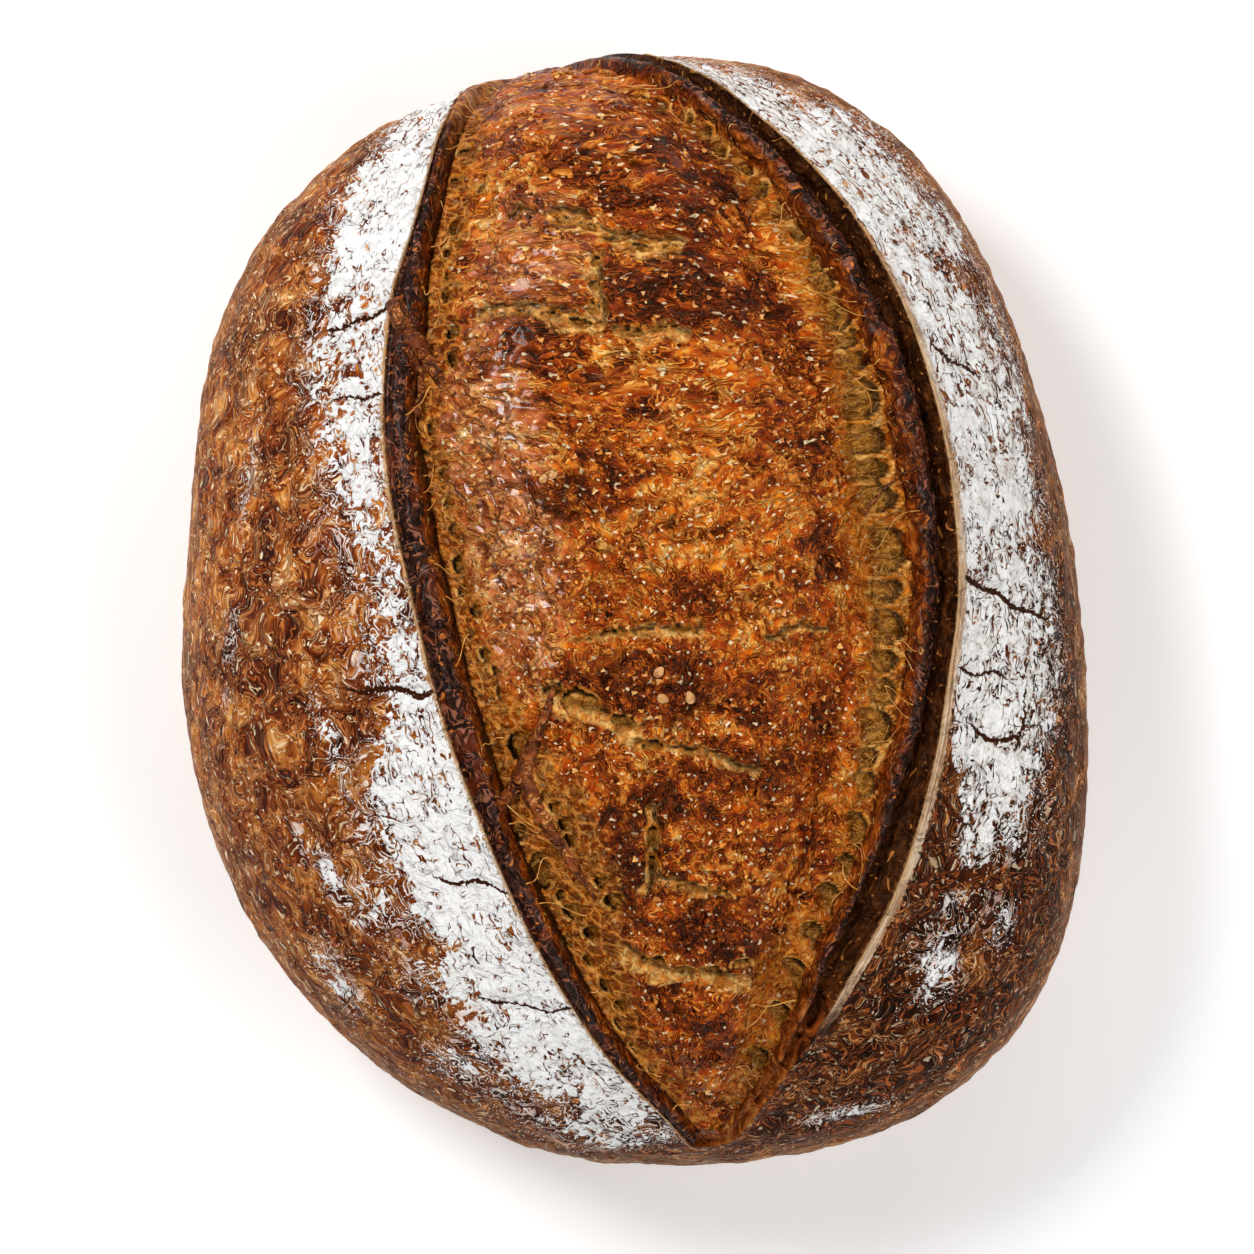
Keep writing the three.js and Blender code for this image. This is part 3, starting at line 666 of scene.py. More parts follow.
def crust_mesh():
    ring = np.concatenate([left_lip[:ROWS], right_lip[:0:-1]])
    outer = outer_ring(ring)
    way = np.linalg.norm(outer - ring, axis=1)
    beyond = np.arange(1, SIDE_RINGS + 1) / SIDE_RINGS
    first = FIRST_RINGS[:, None] / way
    shares = np.concatenate([np.zeros((1, len(ring))), first,
                             first[-1] + (1 - first[-1]) * beyond[:, None]])
    outside_chart = ring[None] + (outer - ring)[None] * shares[..., None]
    outside = Places(outside_chart.reshape(-1, 2))
    from_left = column_shares(LEFT_COLUMNS, "left")
    from_right = column_shares(RIGHT_COLUMNS, "right")
    gap = 1 - from_right[:, -1:] - from_left[:, -1:]
    middle = from_left[:, -1:] + gap * np.array([[1 / 3, 2 / 3]])
    across = np.concatenate([from_left, middle, 1 - from_right[:, ::-1]], 1)[1:ROWS]
    opening_chart = left_lip[1:ROWS, None] + (right_lip - left_lip)[1:ROWS, None] * across[..., None]
    inside = Places(opening_chart.reshape(-1, 2))
    points = np.concatenate([outside.lifted(crust_height(outside)), inside.lifted(band_height(inside)),
                             [[0, 0, 0]]])
    ring_ids = np.arange(len(shares) * len(ring)).reshape(len(shares), -1)
    lip_ids = ring_ids[0]
    inner_ids = len(outside.dome) + np.arange(len(inside.dome)).reshape(ROWS - 1, -1)
    rows = np.concatenate([lip_ids[1:ROWS, None], inner_ids, lip_ids[:ROWS:-1][:ROWS - 1, None]], 1)
    base = len(points) - 1
    faces = [grid_quads(ring_ids, closed=True), grid_quads(rows)]
    fans = [[lip_ids[0], a, b] for a, b in zip(rows[0], rows[0][1:])]
    fans += [[a, lip_ids[ROWS], b] for a, b in zip(rows[-1], rows[-1][1:])]
    fans += [[a, base, b] for a, b in zip(ring_ids[-1], np.roll(ring_ids[-1], -1))]
    faces = [*np.concatenate(faces).tolist(), *fans]
    return points, faces, outside, inside


points, faces, outside, inside = crust_mesh()
middle_shift = -(points.min(0) + points.max(0)) / 2 * [1, 1, 0]
print("shift to the middle:", middle_shift.round(2), "size:", (points.max(0) - points.min(0)).round(1))
crust = make_mesh("loaf_crust", points + middle_shift, faces)


# %% [markdown]
# ## The numbers the crust's finish reads
# Masks that a noise texture alone can't know, such as the flour strips, the burnt bands and the cracks, are
# worked out here and stored on the points. The finish adds the grain finer than the mesh.

# %% Masks of the crust
def bake_and_shade(at):
    """Darker to the lower right: partly a darker bake, partly painted shade away from the key light."""
    x, y = at.above.T
    return np.clip(0.5 + (0.75 * x - 0.55 * y) / 150, 0, 1)


def crust_numbers():
    def gather(value):
        """A number for every point of the crust: outside, inside, and 0 for the middle of the base."""
        return np.concatenate([value(outside), value(inside), [0]])

    inner = np.concatenate([np.zeros(len(outside.dome)), np.ones(len(inside.dome)), [0]])
    on_right = gather(lambda at: at.on_right.astype(float))
    distance = gather(lambda at: np.minimum(at.left, at.right))
    burn = gather(lambda at: np.where(at.on_right, at.right_burn, at.left_burn))
    along = gather(lambda at: np.where(at.on_right, at.right_along, at.left_along))
    lip_up = gather(lambda at: np.where(at.on_right, at.right_up, at.left_up))
    height = gather(lambda at: at.dome[:, 2])
    plain = gather(lambda at: np.where(at.on_right, ease(-84, -100, at.right_up),
                                       ease(110, 122, at.left_up)))
    offset, width, near = (gather(lambda at, part=part: cracks_on(at)[part]) for part in range(3))
    add_numbers(crust, inner=inner, right_side=on_right, burn=burn * inner,
                grain=np.stack([along, distance, on_right * 50], 1), lip_distance=distance, lip_up=lip_up,
                flour=gather(flour_on) * (1 - inner), dark=gather(bake_and_shade), crack=offset,
                crack_width=width * near * (1 - inner), low=ease(62, 22, height), plain=plain)


crust_numbers()

# %% [markdown]
# ## The belly
# Between the lips the dough swelled, tore and blistered. Its skin is a second closed mesh whose edges dive
# below the crust's floor in both crevices, so that the two meet in a dark line as they do on the loaf; the
# crust's finish paints that crevice with shade.
# Bubbles of the dough show as pits with thin rims: large drawn-out ones along the right side, small ones in
# the left crevice and in the torn places. Darker, toasted plates stand slightly proud.

# %% Zones of the belly
# Toasted plates: x, y, half-length, half-width, turn in degrees, strength.
TOASTED = [
    (14, -62, 26, 38, 0, 0.36), (0, 96, 34, 26, 0, 0.3), (15, 101, 17, 11, -5, 0.95),
    (-2, 118, 12, 6, 5, 0.5), (8, 73, 14, 9, -3, 1.0), (28, 70, 16, 8, 10, 0.75),
    (-26, 58, 15, 7, 5, 0.75), (-16, 26, 10, 5, -15, 1.0), (-2, 33, 14, 6, 5, 0.45),
    (2, -16, 24, 8.5, -4, 1.0), (24, -20, 12, 7, 0, 0.8), (6, -47, 12, 9, 20, 0.85),
    (27, -38, 16, 7, 0, 0.7), (16, -74, 16, 6.5, -3, 1.0), (-1, -60, 5, 12, 10, 0.9),
    (11, 4, 20, 6, 0, 0.6), (12, -98, 15, 9, 5, 0.6), (43, 12, 8, 18, 8, 0.5), (38, 42, 9, 14, 5, 0.5),
    (-10, 74, 9, 10, 0, 0.35), (5, 50, 18, 6, 0, 0.35), (44, -30, 7, 16, -8, 0.55)]
# A square plate with crisp edges: x from and to, y from and to.
PLATE = (-6.2, 14.6, 65.2, 82.6)
# Scorched spots: x, y, radius, strength.
SCORCHED = [
    (-21, 24, 3.5, 1.0), (-14, 27, 5, 0.5), (9, -24, 4, 0.6), (-4, -13, 6, 0.5), (16, -20, 5, 0.5),
    (20, 99, 7, 0.35), (0, -52, 4, 0.6), (13, -72, 5, 0.5), (7, 78, 4, 0.4), (-3, -66, 4, 0.8)]
# Torn places: a path seen from above, how far the hollow reaches from it, depth. Its left side is sharp.
TEARS = [
    ([(-22.5, 90.5), (-19, 92.6), (-14, 92.6), (-11, 92), (-8.6, 89.6), (-5.8, 88), (0.5, 86.6),
      (7.7, 86.4), (13.5, 84.2)], 8.5, 2.5),
    ([(-29, 91), (-27, 93.5), (-24, 93.2), (-22.6, 90.6)], 3.6, 1.8),
    ([(-6.6, 83), (-7, 77), (-6.4, 71), (-6.2, 65)], 8.5, 1.7),
    ([(-38, 69.2), (-33, 70.6), (-29, 70.2), (-20.5, 69.8), (-14, 68.4), (-9, 66.4), (-5.3, 65.4)],
     6.5, 1.7),
    ([(-6, 64.6), (-1, 64.6), (3, 63.6), (8, 65), (14, 64)], 4.6, 2.0),
    ([(-12, -6.5), (-6, -4.6), (-2, -4.4), (4, -3.4), (10, -4.2), (17, -3.8)], 4.0, 2.0),
    ([(-22, -17.5), (-17, -19), (-13, -21.5), (-7, -23), (-2, -25.4), (3, -25)], 8.0, 2.1),
    ([(-1, -28.4), (6, -29.6), (15, -31), (22, -33.5), (30, -37)], 4.4, 1.7),
    ([(4.6, -44), (5.6, -50), (5.2, -56), (4.4, -62), (3.6, -66)], 5.0, 2.2),
    ([(4, -60.4), (10, -61), (17, -64.5)], 4.2, 1.4),
    ([(-4, -77), (1, -79), (6, -82), (12, -82.2), (20, -83.6), (28, -84.6)], 6.5, 2.1),
    ([(30, -7), (38, -3), (46, -4)], 3.0, 1.0)]
# Open bubbles: x, y, half-width, half-height, and a turn in degrees where there is one.
CREVICE_BUBBLES = [
    (-40.8, 110.6, 1.2, 2.1, -70), (-42.2, 102.8, 1.2, 2.3, -75), (-35.6, 99.3, 1.9, 0.9, 10),
    (-42.9, 90.9, 1.4, 2.1), (-44.3, 85.0, 1.4, 1.4), (-44.1, 79.4, 1.2, 1.4), (-44.8, 74.7, 1.4, 1.9),
    (-42.4, 65.5, 2.8, 1.9, 20), (-42.4, 59.2, 2.1, 2.6), (-51.4, 52.2, 1.2, 2.8), (-53.2, 56.6, 1.2, 1.6),
    (-48.1, 42.6, 1.4, 1.9), (-48.5, 37.2, 1.2, 1.4), (-45.5, 31.1, 1.4, 1.9), (-43.9, 24.7, 1.4, 1.6),
    (-42.2, 18.2, 1.4, 1.9), (-41.3, 10.2, 2.1, 2.3), (-40.1, 4.3, 1.4, 1.6), (-37.1, -0.1, 1.9, 1.9),
    (-38.7, -6.0, 1.4, 1.4), (-34.9, -10.4, 1.6, 1.9), (-32.4, -14.4, 1.4, 1.4), (-31.4, -19.6, 1.4, 1.6),
    (-30.7, -27.3, 0.9, 0.9), (-26.3, -32.2, 3.5, 4.0, 15), (-21.1, -44.0, 0.9, 1.2),
    (-18.3, -46.5, 1.9, 1.4, -10), (-15.7, -50.3, 2.6, 2.1), (-14.5, -54.1, 2.3, 1.9),
    (-26.0, -52.6, 2.1, 2.3), (-21.6, -61.6, 3.3, 4.5, 10), (-7.0, -63.2, 2.8, 1.4, -10),
    (-3.8, -67.4, 3.5, 2.6), (-14.1, -71.2, 2.8, 2.3), (-17.1, -67.2, 1.6, 1.9), (-9.6, -76.1, 2.8, 2.1),
    (-15.5, -78.4, 1.4, 2.1, 30), (-10.6, -83.4, 1.4, 2.1, 35), (-6.8, -89.0, 1.4, 2.3, 35),
    (-3.0, -93.7, 1.9, 1.6), (-3.5, -98.8, 1.2, 2.1, 30), (0.2, -104.5, 1.2, 2.1, 30),
    (4.0, -110.6, 0.9, 1.9, 30), (7.7, -116.2, 0.9, 1.6, 30)]
WINDOW_BUBBLES = [
    (0.9, 124.9, 2.1, 1.2, -20), (6.6, 122.1, 1.9, 1.2, -25), (12.2, 118.5, 2.1, 1.4, -30),
    (17.1, 114.8, 1.9, 1.4, -30), (20.6, 109.9, 2.1, 1.4, -35), (26.3, 105.6, 2.6, 1.4, -35),
    (30.5, 100.0, 1.9, 1.9), (35.6, 95.1, 3.0, 2.1, -30), (39.4, 89.7, 2.3, 1.9, -20),
    (43.4, 83.6, 2.8, 3.0), (45.3, 77.5, 2.6, 2.1), (47.4, 70.5, 4.7, 3.8, -5), (49.5, 63.9, 3.8, 2.3),
    (50.4, 58.7, 5.6, 2.3, -5), (52.3, 49.6, 5.6, 4.5, -5), (53.7, 40.0, 6.3, 3.3, -5),
    (54.6, 32.9, 6.1, 2.6), (56.5, 25.9, 6.3, 3.3, 5), (59.3, 14.0, 6.1, 4.9, 5), (58.4, 4.3, 5.6, 2.8, 5),
    (59.6, -4.3, 5.2, 3.8, 5), (58.9, -12.1, 4.2, 2.6, 5), (58.4, -19.3, 4.0, 3.3, 5),
    (56.7, -27.8, 4.5, 4.0, 10), (54.6, -35.3, 3.8, 2.1, 15), (54.2, -41.4, 3.5, 3.0, 15),
    (53.2, -52.9, 3.0, 3.8, 20), (49.9, -60.4, 2.8, 2.3, 25), (46.2, -68.6, 3.0, 3.5, 30),
    (42.2, -77.3, 2.8, 2.8, 30), (38.7, -87.8, 3.3, 4.7, 30), (35.9, -98.4, 3.3, 4.7, 35),
    (29.8, -107.8, 2.8, 3.3, 40)]
TORN_BUBBLES = [
    (-15.8, 89.6, 2.6, 1.6, -10), (-10.5, 88.0, 2.1, 1.4), (-5.3, 85.2, 2.6, 1.4), (1.6, 83.5, 3.0, 1.4),
    (8.1, 83.3, 2.3, 1.2), (-31.4, 67.3, 2.3, 1.4, 5), (-25.3, 67.0, 2.8, 1.6), (-19.1, 66.8, 2.6, 1.6),
    (-12.5, 65.4, 2.8, 1.6, -10), (-8.8, 79.1, 1.4, 2.1), (-9.1, 73.6, 1.6, 2.1), (-9.1, 68.4, 1.6, 1.9),
    (-0.7, 63.1, 3.0, 1.6), (5.8, 63.3, 2.1, 1.2), (-11.6, -7.3, 2.8, 1.2), (-5.3, -5.9, 2.6, 1.2),
    (2.3, -5.5, 3.0, 1.2), (10.5, -5.0, 2.3, 1.2), (-12.5, -21.7, 4.6, 3.0), (-2.3, -25.7, 3.0, 2.1),
    (-18.6, -18.5, 2.3, 1.9), (4.2, -31.3, 2.8, 1.6), (12.8, -32.9, 2.8, 1.4), (4.2, -52.2, 1.4, 3.3, 5),
    (4.4, -59.1, 1.4, 3.0, 5), (-17.4, -67.3, 1.4, 1.4), (13.0, -64.0, 3.7, 1.6), (19.8, -65.4, 2.3, 1.4),
    (4.4, -81.7, 3.3, 2.1), (11.6, -83.1, 2.6, 1.9), (17.9, -83.3, 3.0, 1.6), (24.9, -81.7, 2.6, 1.4)]
# How the three kinds differ. Near points to the lip or the torn edge. There a bubble has a dark crescent,
# which is what lies outside the bubble's own shape shifted by shadow. On the other side it runs out softly.
BUBBLES = [
    dict(holes=CREVICE_BUBBLES, stretch=(1, 1), near=(-1, 0), soft=(-0.9, 0.3), shadow=(0.42, 0.1),
         gloom=1.0, depth=1.9, light=0.25),
    dict(holes=WINDOW_BUBBLES, stretch=(1.12, 1.25), near=(1, 0), soft=(-0.9, 0.1), shadow=(-0.42, 0.0),
         gloom=0.6, depth=1.3, light=0.4),
    dict(holes=TORN_BUBBLES, stretch=(1, 1), near=(0, 1), soft=(-1.0, 0.2), shadow=(0.0, -0.42),
         gloom=1.0, depth=1.1, light=1.0)]
# Up to this place up the loaf a window's shadow is as dark as the others.
GLOOM_END = -84
# Paler skin, and skin that shines and is painted with a pale sheen: x, y, half-length, half-width, turn in
# degrees, strength.
PALE = [
    (-10, 80, 14, 9, 0, 0.8), (10, 57, 26, 7, 0, 0.7), (15, 36, 18, 12, 0, 0.9), (20, 18, 20, 8, 0, 0.8),
    (-36, 92, 7, 26, -14, 0.8), (40, 84, 10, 16, 35, 0.8), (-34, 42, 9, 20, 0, 0.6),
    (-30, 8, 9, 18, 12, 0.5), (30, -62, 14, 7, 0, 0.6), (34, -92, 9, 16, 20, 0.6),
    (-14, -90, 6, 16, -25, 0.5), (36, 5, 12, 10, 0, 0.3)]
GLOSS = [
    (-33, 36, 12, 26, 6, 1.0), (-28, 10, 12, 20, 12, 1.0), (-26, -8, 8, 12, 20, 0.7),
    (-24, 82, 14, 14, 0, 0.5), (-34, 62, 10, 12, 0, 0.5)]


def patch_sum(patches, above):
    """How much of these soft-edged ellipses lies on each place."""
    most = np.zeros(len(above))
    for x, y, length, width, turn, strength in patches:
        ahead, aside = turned(above - (x, y), turn)
        reach = np.hypot(ahead / length, aside / width)
        most = np.maximum(most, strength * ease(1.4, 0.4, reach))
    return most


# %% [markdown]
# ## The belly's zones and relief
# One class works out every zone once. The relief and the finish both read it, so that a colour always lies on
# its own shape. Each method makes one kind of feature.

# %% Every number of the belly
class Belly:
    """The zones and the relief of the belly, for a set of places."""

    def __init__(self, at):
        self.at = at
        # Two wandering offsets keep the edges of zones from looking drawn.
        self.drift = 1.6 * drift_of(at.dome, 6, 41) + 0.8 * drift_of(at.dome, 2.2, 43)
        self.teeth = drift_of(at.dome, 1.6, 72)
        self.shifted = at.above + self.drift
        self.toast_plates()
        self.tear_skin()
        self.stretch_dough()
        self.open_bubbles()
        self.raise_scales()
        self.skin = 1 - np.maximum.reduce([self.tear, self.window, self.pocket])

    def toast_plates(self):
        """Toasted plates with ragged edges that run crosswise, the square one, and scorched spots."""
        flat = np.column_stack([self.shifted, self.at.dome[:, 2] * 0.3])
        raw = patch_sum(TOASTED, self.shifted) + 0.34 * unevenness(flat, (9, 5, 9), 45)
        raw += 0.2 * unevenness(flat, (3.6, 1.7, 3), 46)
        low_x, high_x, low_y, high_y = PLATE
        x, y = (self.at.above + 0.35 * self.drift).T
        beyond = np.maximum.reduce([low_x - x, x - high_x, low_y - y, y - high_y])
        self.toast = np.maximum(ease(0.15, 0.8, raw), 0.72 * ease(0.5, -0.3, beyond))
        self.plate = np.maximum(ease(0.4, 0.52, raw), 1.3 * ease(0.4, -0.4, beyond))
        self.scorch = np.zeros(len(raw))
        for x, y, radius, strength in SCORCHED:
            reach = np.hypot(*(self.shifted - (x, y)).T) / radius
            self.scorch = np.maximum(self.scorch, strength * ease(1.2, 0.3, reach))
        self.pale = patch_sum(PALE, self.shifted)
        self.gloss = patch_sum(GLOSS, self.at.above)

    def tear_skin(self):
        """Torn places: a sharp overhanging edge on one side, fading out on the other."""
        above = self.at.above
        near_edge = above + 0.5 * self.drift + 0.55 * self.teeth
        self.tear, self.tear_depth, self.tear_foot, self.overhang = np.zeros((4, len(above)))
        for path, wide, depth in TEARS:
            distance, share = distance_to_path(path, near_edge)
            ends = ease(0, 0.06, share) * ease(1, 0.94, share)
            reach = wide * (0.95 + 0.5 * unevenness(self.at.dome, 5, 47))
            here = ease(0.55, -0.3, distance) * ease(-reach, -0.3 * reach, distance) * (0.25 + 0.75 * ends)
            edge = ease(-0.4, 0.5, distance) * ease(3.2, 0.5, distance) * ends
            self.tear = np.maximum(self.tear, here)
            self.tear_foot = np.maximum(self.tear_foot, here * ease(-1.9, -0.3, distance))
            self.tear_depth = np.maximum(self.tear_depth, here * depth * ease(-1.1 * reach, 0, distance))
            self.overhang = np.maximum(self.overhang, edge)
        wall, tag, _ = cells(above[:, 0] / 3.8 + 0.3 * self.drift[:, 0], above[:, 1] / 2.9, 51)
        self.tear_wall = ease(0.22, 0.04, wall)
        self.tear_pit = ease(0.05, 0.55, wall) * (0.75 + 0.25 * tag)

    def stretch_dough(self):
        """Dough stretched into crosswise folds along the right, and the torn floor of the left crevice."""
        at = self.at
        drawn = at.right_burn + 0.8 * unevenness(at.dome, 6, 52) + 0.4 * unevenness(at.dome, 2.5, 60)
        folds = unevenness(np.stack([at.right_along / 2.0, drawn / 9, np.zeros(len(drawn))], 1), 1, 55)
        inner_end = RIDGE_END + steps(WINDOWS, at.right_up) + 2.5 * folds + 2 * unevenness(at.dome, 8, 64)
        zone = ease(10, 11, drawn) * ease(inner_end + 4, inner_end - 3, drawn)
        zone = zone * ease(0.3, 0.8, at.rightness)
        self.window = zone * ease(-126, -116, at.right_up) * ease(128, 121, at.right_up)
        self.window_out = ease(21, 13.5, drawn)
        self.fingers = (0.5 + 0.5 * folds) * self.window
        drawn = at.left_burn + 0.7 * unevenness(at.dome, 5, 57) + 0.4 * unevenness(at.dome, 2, 65)
        wide = LEFT_END + steps(POCKETS, at.left_up) + 2.5 * unevenness(at.dome, 4, 66)
        self.pocket = ease(wide + 2.5, wide - 2.5, drawn) * (1 - at.rightness)

    def open_bubbles(self):
        """Open bubbles: each has a thin raised rim, and is darkest beside the lip or the torn edge.

        The dark side is painted shadow.
        """
        above = self.at.above
        ragged = above + 0.35 * self.drift + 0.35 * self.teeth
        found = np.zeros((6, len(above)))
        for kind in BUBBLES:
            for x, y, half_width, half_height, *turn in kind["holes"]:
                width, height = half_width * kind["stretch"][0], half_height * kind["stretch"][1]
                close = np.flatnonzero(np.hypot(*(above - (x, y)).T) < max(width, height) + 3)
                ahead, aside = turned(ragged[close] - (x, y), *(turn or [0]))
                u, v = ahead / width, aside / height
                size = min(width, height)
                apart = (np.hypot(u, v) - 1) * size
                nearness = u * kind["near"][0] + v * kind["near"][1]
                fade = 0.15 + 0.85 * ease(*kind["soft"], nearness)
                within = ease(0.25, -0.4, apart) * fade
                rim = ease(-0.3, 0.05, apart) * ease(0.7, 0.2, apart) * fade
                shadow = np.hypot(u - kind["shadow"][0], v - kind["shadow"][1])
                gloom = 1.0 if y < GLOOM_END else kind["gloom"]
                deep = ease(0.2, -0.2, apart) * ease(0.95, 1.2, shadow) * gloom
                ring = within * (apart / size + 1) * size / 2.4
                depth = within * kind["depth"] * min(1, size / 2)
                values = (within, rim, deep, depth, within * kind["light"], ring)
                found[:, close] = np.maximum(found[:, close], values)
        self.hole, self.hole_rim, self.hole_deep, self.hole_depth, self.hole_light, self.hole_ring = found

    def raise_scales(self):
        """Scales of the skin: each wave rises slowly and drops at once, like overlapping flakes.

        The top of each drop is marked for painted highlight and its foot for painted shade.
        """
        self.crosswise = ease(10, 60, self.at.above[:, 1])
        x, y = self.shifted.T
        bent = np.stack([x / (1 + 0.9 * self.crosswise), y, self.at.dome[:, 2] * 0.5], 1)
        bent[:, :2] += 1.6 * drift_of(bent, 3.1, 68)
        level = unevenness(bent, (6.0, 4.2, 5.0), 61) + 0.35 * unevenness(bent, (2.6, 1.9, 2.4), 62)
        scale = (1.7 * level) % 1
        here = ease(-0.35, 0.15, unevenness(bent, (7, 5, 7), 67))
        self.scale = here * (2 * scale - 1)
        self.scale_rim = here * ease(0.72, 0.95, scale)
        self.scale_foot = here * ease(0.3, 0.04, scale)
        self.crinkle = (0.5 * creases(bent, (3.0, 1.9, 3.0), 63) + 0.45 * creases(bent, (1.9, 1.3, 2.0), 70)
                        + 0.4 * unevenness(bent, (2.6, 1.7, 2.4), 71))
        wall, _, tilt = cells(bent[:, 0] / 5.4, bent[:, 1] / 3.8, 75, 0.9)
        self.plates = self.gloss * ease(0.2, 0.02, wall)
        self.pillow = self.gloss * (ease(0, 0.4, wall) + 0.5 * tilt)

    def height(self):
        """Height of the belly over the dome."""
        at = self.at
        bands = mixed(np.sqrt(at.left_size) * profile(LEFT_BELLY, at.left_in),
                      np.sqrt(at.right_size) * profile(RIGHT_BELLY, at.right_in), at.rightness)
        inward = mixed(at.left_in, at.right_in, (at.rightness > 0.5).astype(float))
        on_belly = ease(12, 30, inward)
        lumps = np.zeros(len(at.dome))
        for x, y, radius, height in LUMPS:
            reach = np.hypot(*(at.above - (x, y)).T)
            lumps = lumps + height * ease(radius, LUMP_CORE * radius, reach)
        swell = lumps + waves(BELLY_WAVES, at.dome) - BELLY_SINK
        body = bands + on_belly * swell + (1 - on_belly) * waves(CRUST_WAVES, at.dome)
        body = np.where(body > 0, body * (1 - 0.85 * calm_end(at)), body)
        body = body - 1.2 * ease(105, 135, at.above[:, 1])
        relief = self.skin * (0.5 * self.crinkle + 0.5 * self.scale + 0.8 * self.pillow + 0.8 * self.plate
                              + 0.9 * self.overhang)
        relief = relief - self.tear_depth * (0.5 + 0.3 * self.tear_pit) + 0.4 * self.tear_wall * self.tear
        pits = (self.hole_depth + 0.8 * self.hole_deep - 0.5 * self.hole_rim
                - 0.5 * self.fingers * (1 - self.hole)
                - 0.45 * self.pocket * self.crinkle * (1 - self.hole))
        edge_calm = ease(7, 11, np.minimum(at.left_in, at.right_in))
        return body + edge_calm * (relief - pits)


# %% [markdown]
# ## The belly's mesh
# The skin is a grid from one crevice to the other. Its outermost rows and columns dive under the crust, and a
# plain trough closes it from below, as a closed mesh has a clear inside.

# %% The belly as one closed mesh
BELLY_ROWS = 470
BELLY_COLUMNS = 196
# Places on the profiles where the belly starts under the crust, and how many of the lips' rows it leaves
# free.
LEFT_START, RIGHT_START = 6.2, 9.4
MOST_START = 0.36
END_ROWS = 3
UNDERSIDE = -22


def belly_mesh():
    rows = np.linspace(END_ROWS, ROWS - END_ROWS, BELLY_ROWS)

    def on_rows(values):
        return np.stack([np.interp(rows, np.arange(ROWS + 1), column) for column in values.T], 1)

    left, right = on_rows(left_lip), on_rows(right_lip)
    from_left = column_shares([LEFT_START], "left", MOST_START)
    from_right = column_shares([RIGHT_START], "right", MOST_START)
    start, end = on_rows(from_left), 1 - on_rows(from_right)
    across = start + (end - start) * np.linspace(0, 1, BELLY_COLUMNS)[None]
    chart = left[:, None] + (right - left)[:, None] * across[..., None]
    at = Places(chart.reshape(-1, 2))
    belly = Belly(at)
    height = belly.height().reshape(BELLY_ROWS, BELLY_COLUMNS)
    # The outermost columns and rows dive under the crust.
    side = np.minimum(np.arange(BELLY_COLUMNS), np.arange(BELLY_COLUMNS)[::-1])
    ends = np.minimum(np.arange(BELLY_ROWS), np.arange(BELLY_ROWS)[::-1])
    size = np.sqrt(at.left_size).reshape(height.shape)
    height = height - 2 * size * ease(2, 0, side)[None] - 5 * size * ease(8, 0, ends)[:, None]
    top = at.lifted(height.ravel())
    # The underside is a plain trough well below.
    spine = Places((chart[:, 0] + chart[:, -1]) / 2)
    bottom = spine.dome + spine.normal * UNDERSIDE * np.sqrt(spine.left_size)[:, None]
    ids = np.arange(BELLY_ROWS * BELLY_COLUMNS).reshape(BELLY_ROWS, -1)
    low = len(top) + np.arange(BELLY_ROWS)
    grids = (ids, np.stack([low, ids[:, 0]], 1), np.stack([ids[:, -1], low], 1))
    faces = np.concatenate([grid_quads(grid) for grid in grids]).tolist()
    faces += [[low[0], b, a] for a, b in zip(ids[0], ids[0][1:])]
    faces += [[low[-1], a, b] for a, b in zip(ids[-1], ids[-1][1:])]
    return np.concatenate([top, bottom]), faces, at, belly


points, faces, belly_places, belly_zones = belly_mesh()
belly = make_mesh("loaf_belly", points + middle_shift, faces)


def padded(values):
    """Values of the skin's points, with 0 for those of the underside."""
    return np.concatenate([values, np.zeros(BELLY_ROWS)])


def belly_numbers(at, zones):
    names = ("toast", "scorch", "pale", "gloss", "tear", "tear_wall", "tear_pit", "tear_foot", "window",
             "window_out", "pocket", "fingers", "hole", "hole_rim", "hole_deep", "hole_ring", "hole_light",
             "plates", "crinkle", "scale", "scale_rim", "scale_foot", "crosswise")
    add_numbers(belly, **{name: padded(getattr(zones, name)) for name in names})
    along = np.where(at.on_right, at.right_along, at.left_along)
    grain = np.stack([padded(along), padded(np.minimum(at.left, at.right)), padded(at.on_right * 50.0)], 1)
    add_numbers(belly, near_left=padded(at.left_in), near_right=padded(at.right_in), grain=grain)


belly_numbers(belly_places, belly_zones)

# %% [markdown]
# ## Wires for node trees
# A finish is mostly sums, products and smooth steps of textures. A small class lets a script write them as
# sums and products: every operation adds a node and joins it.

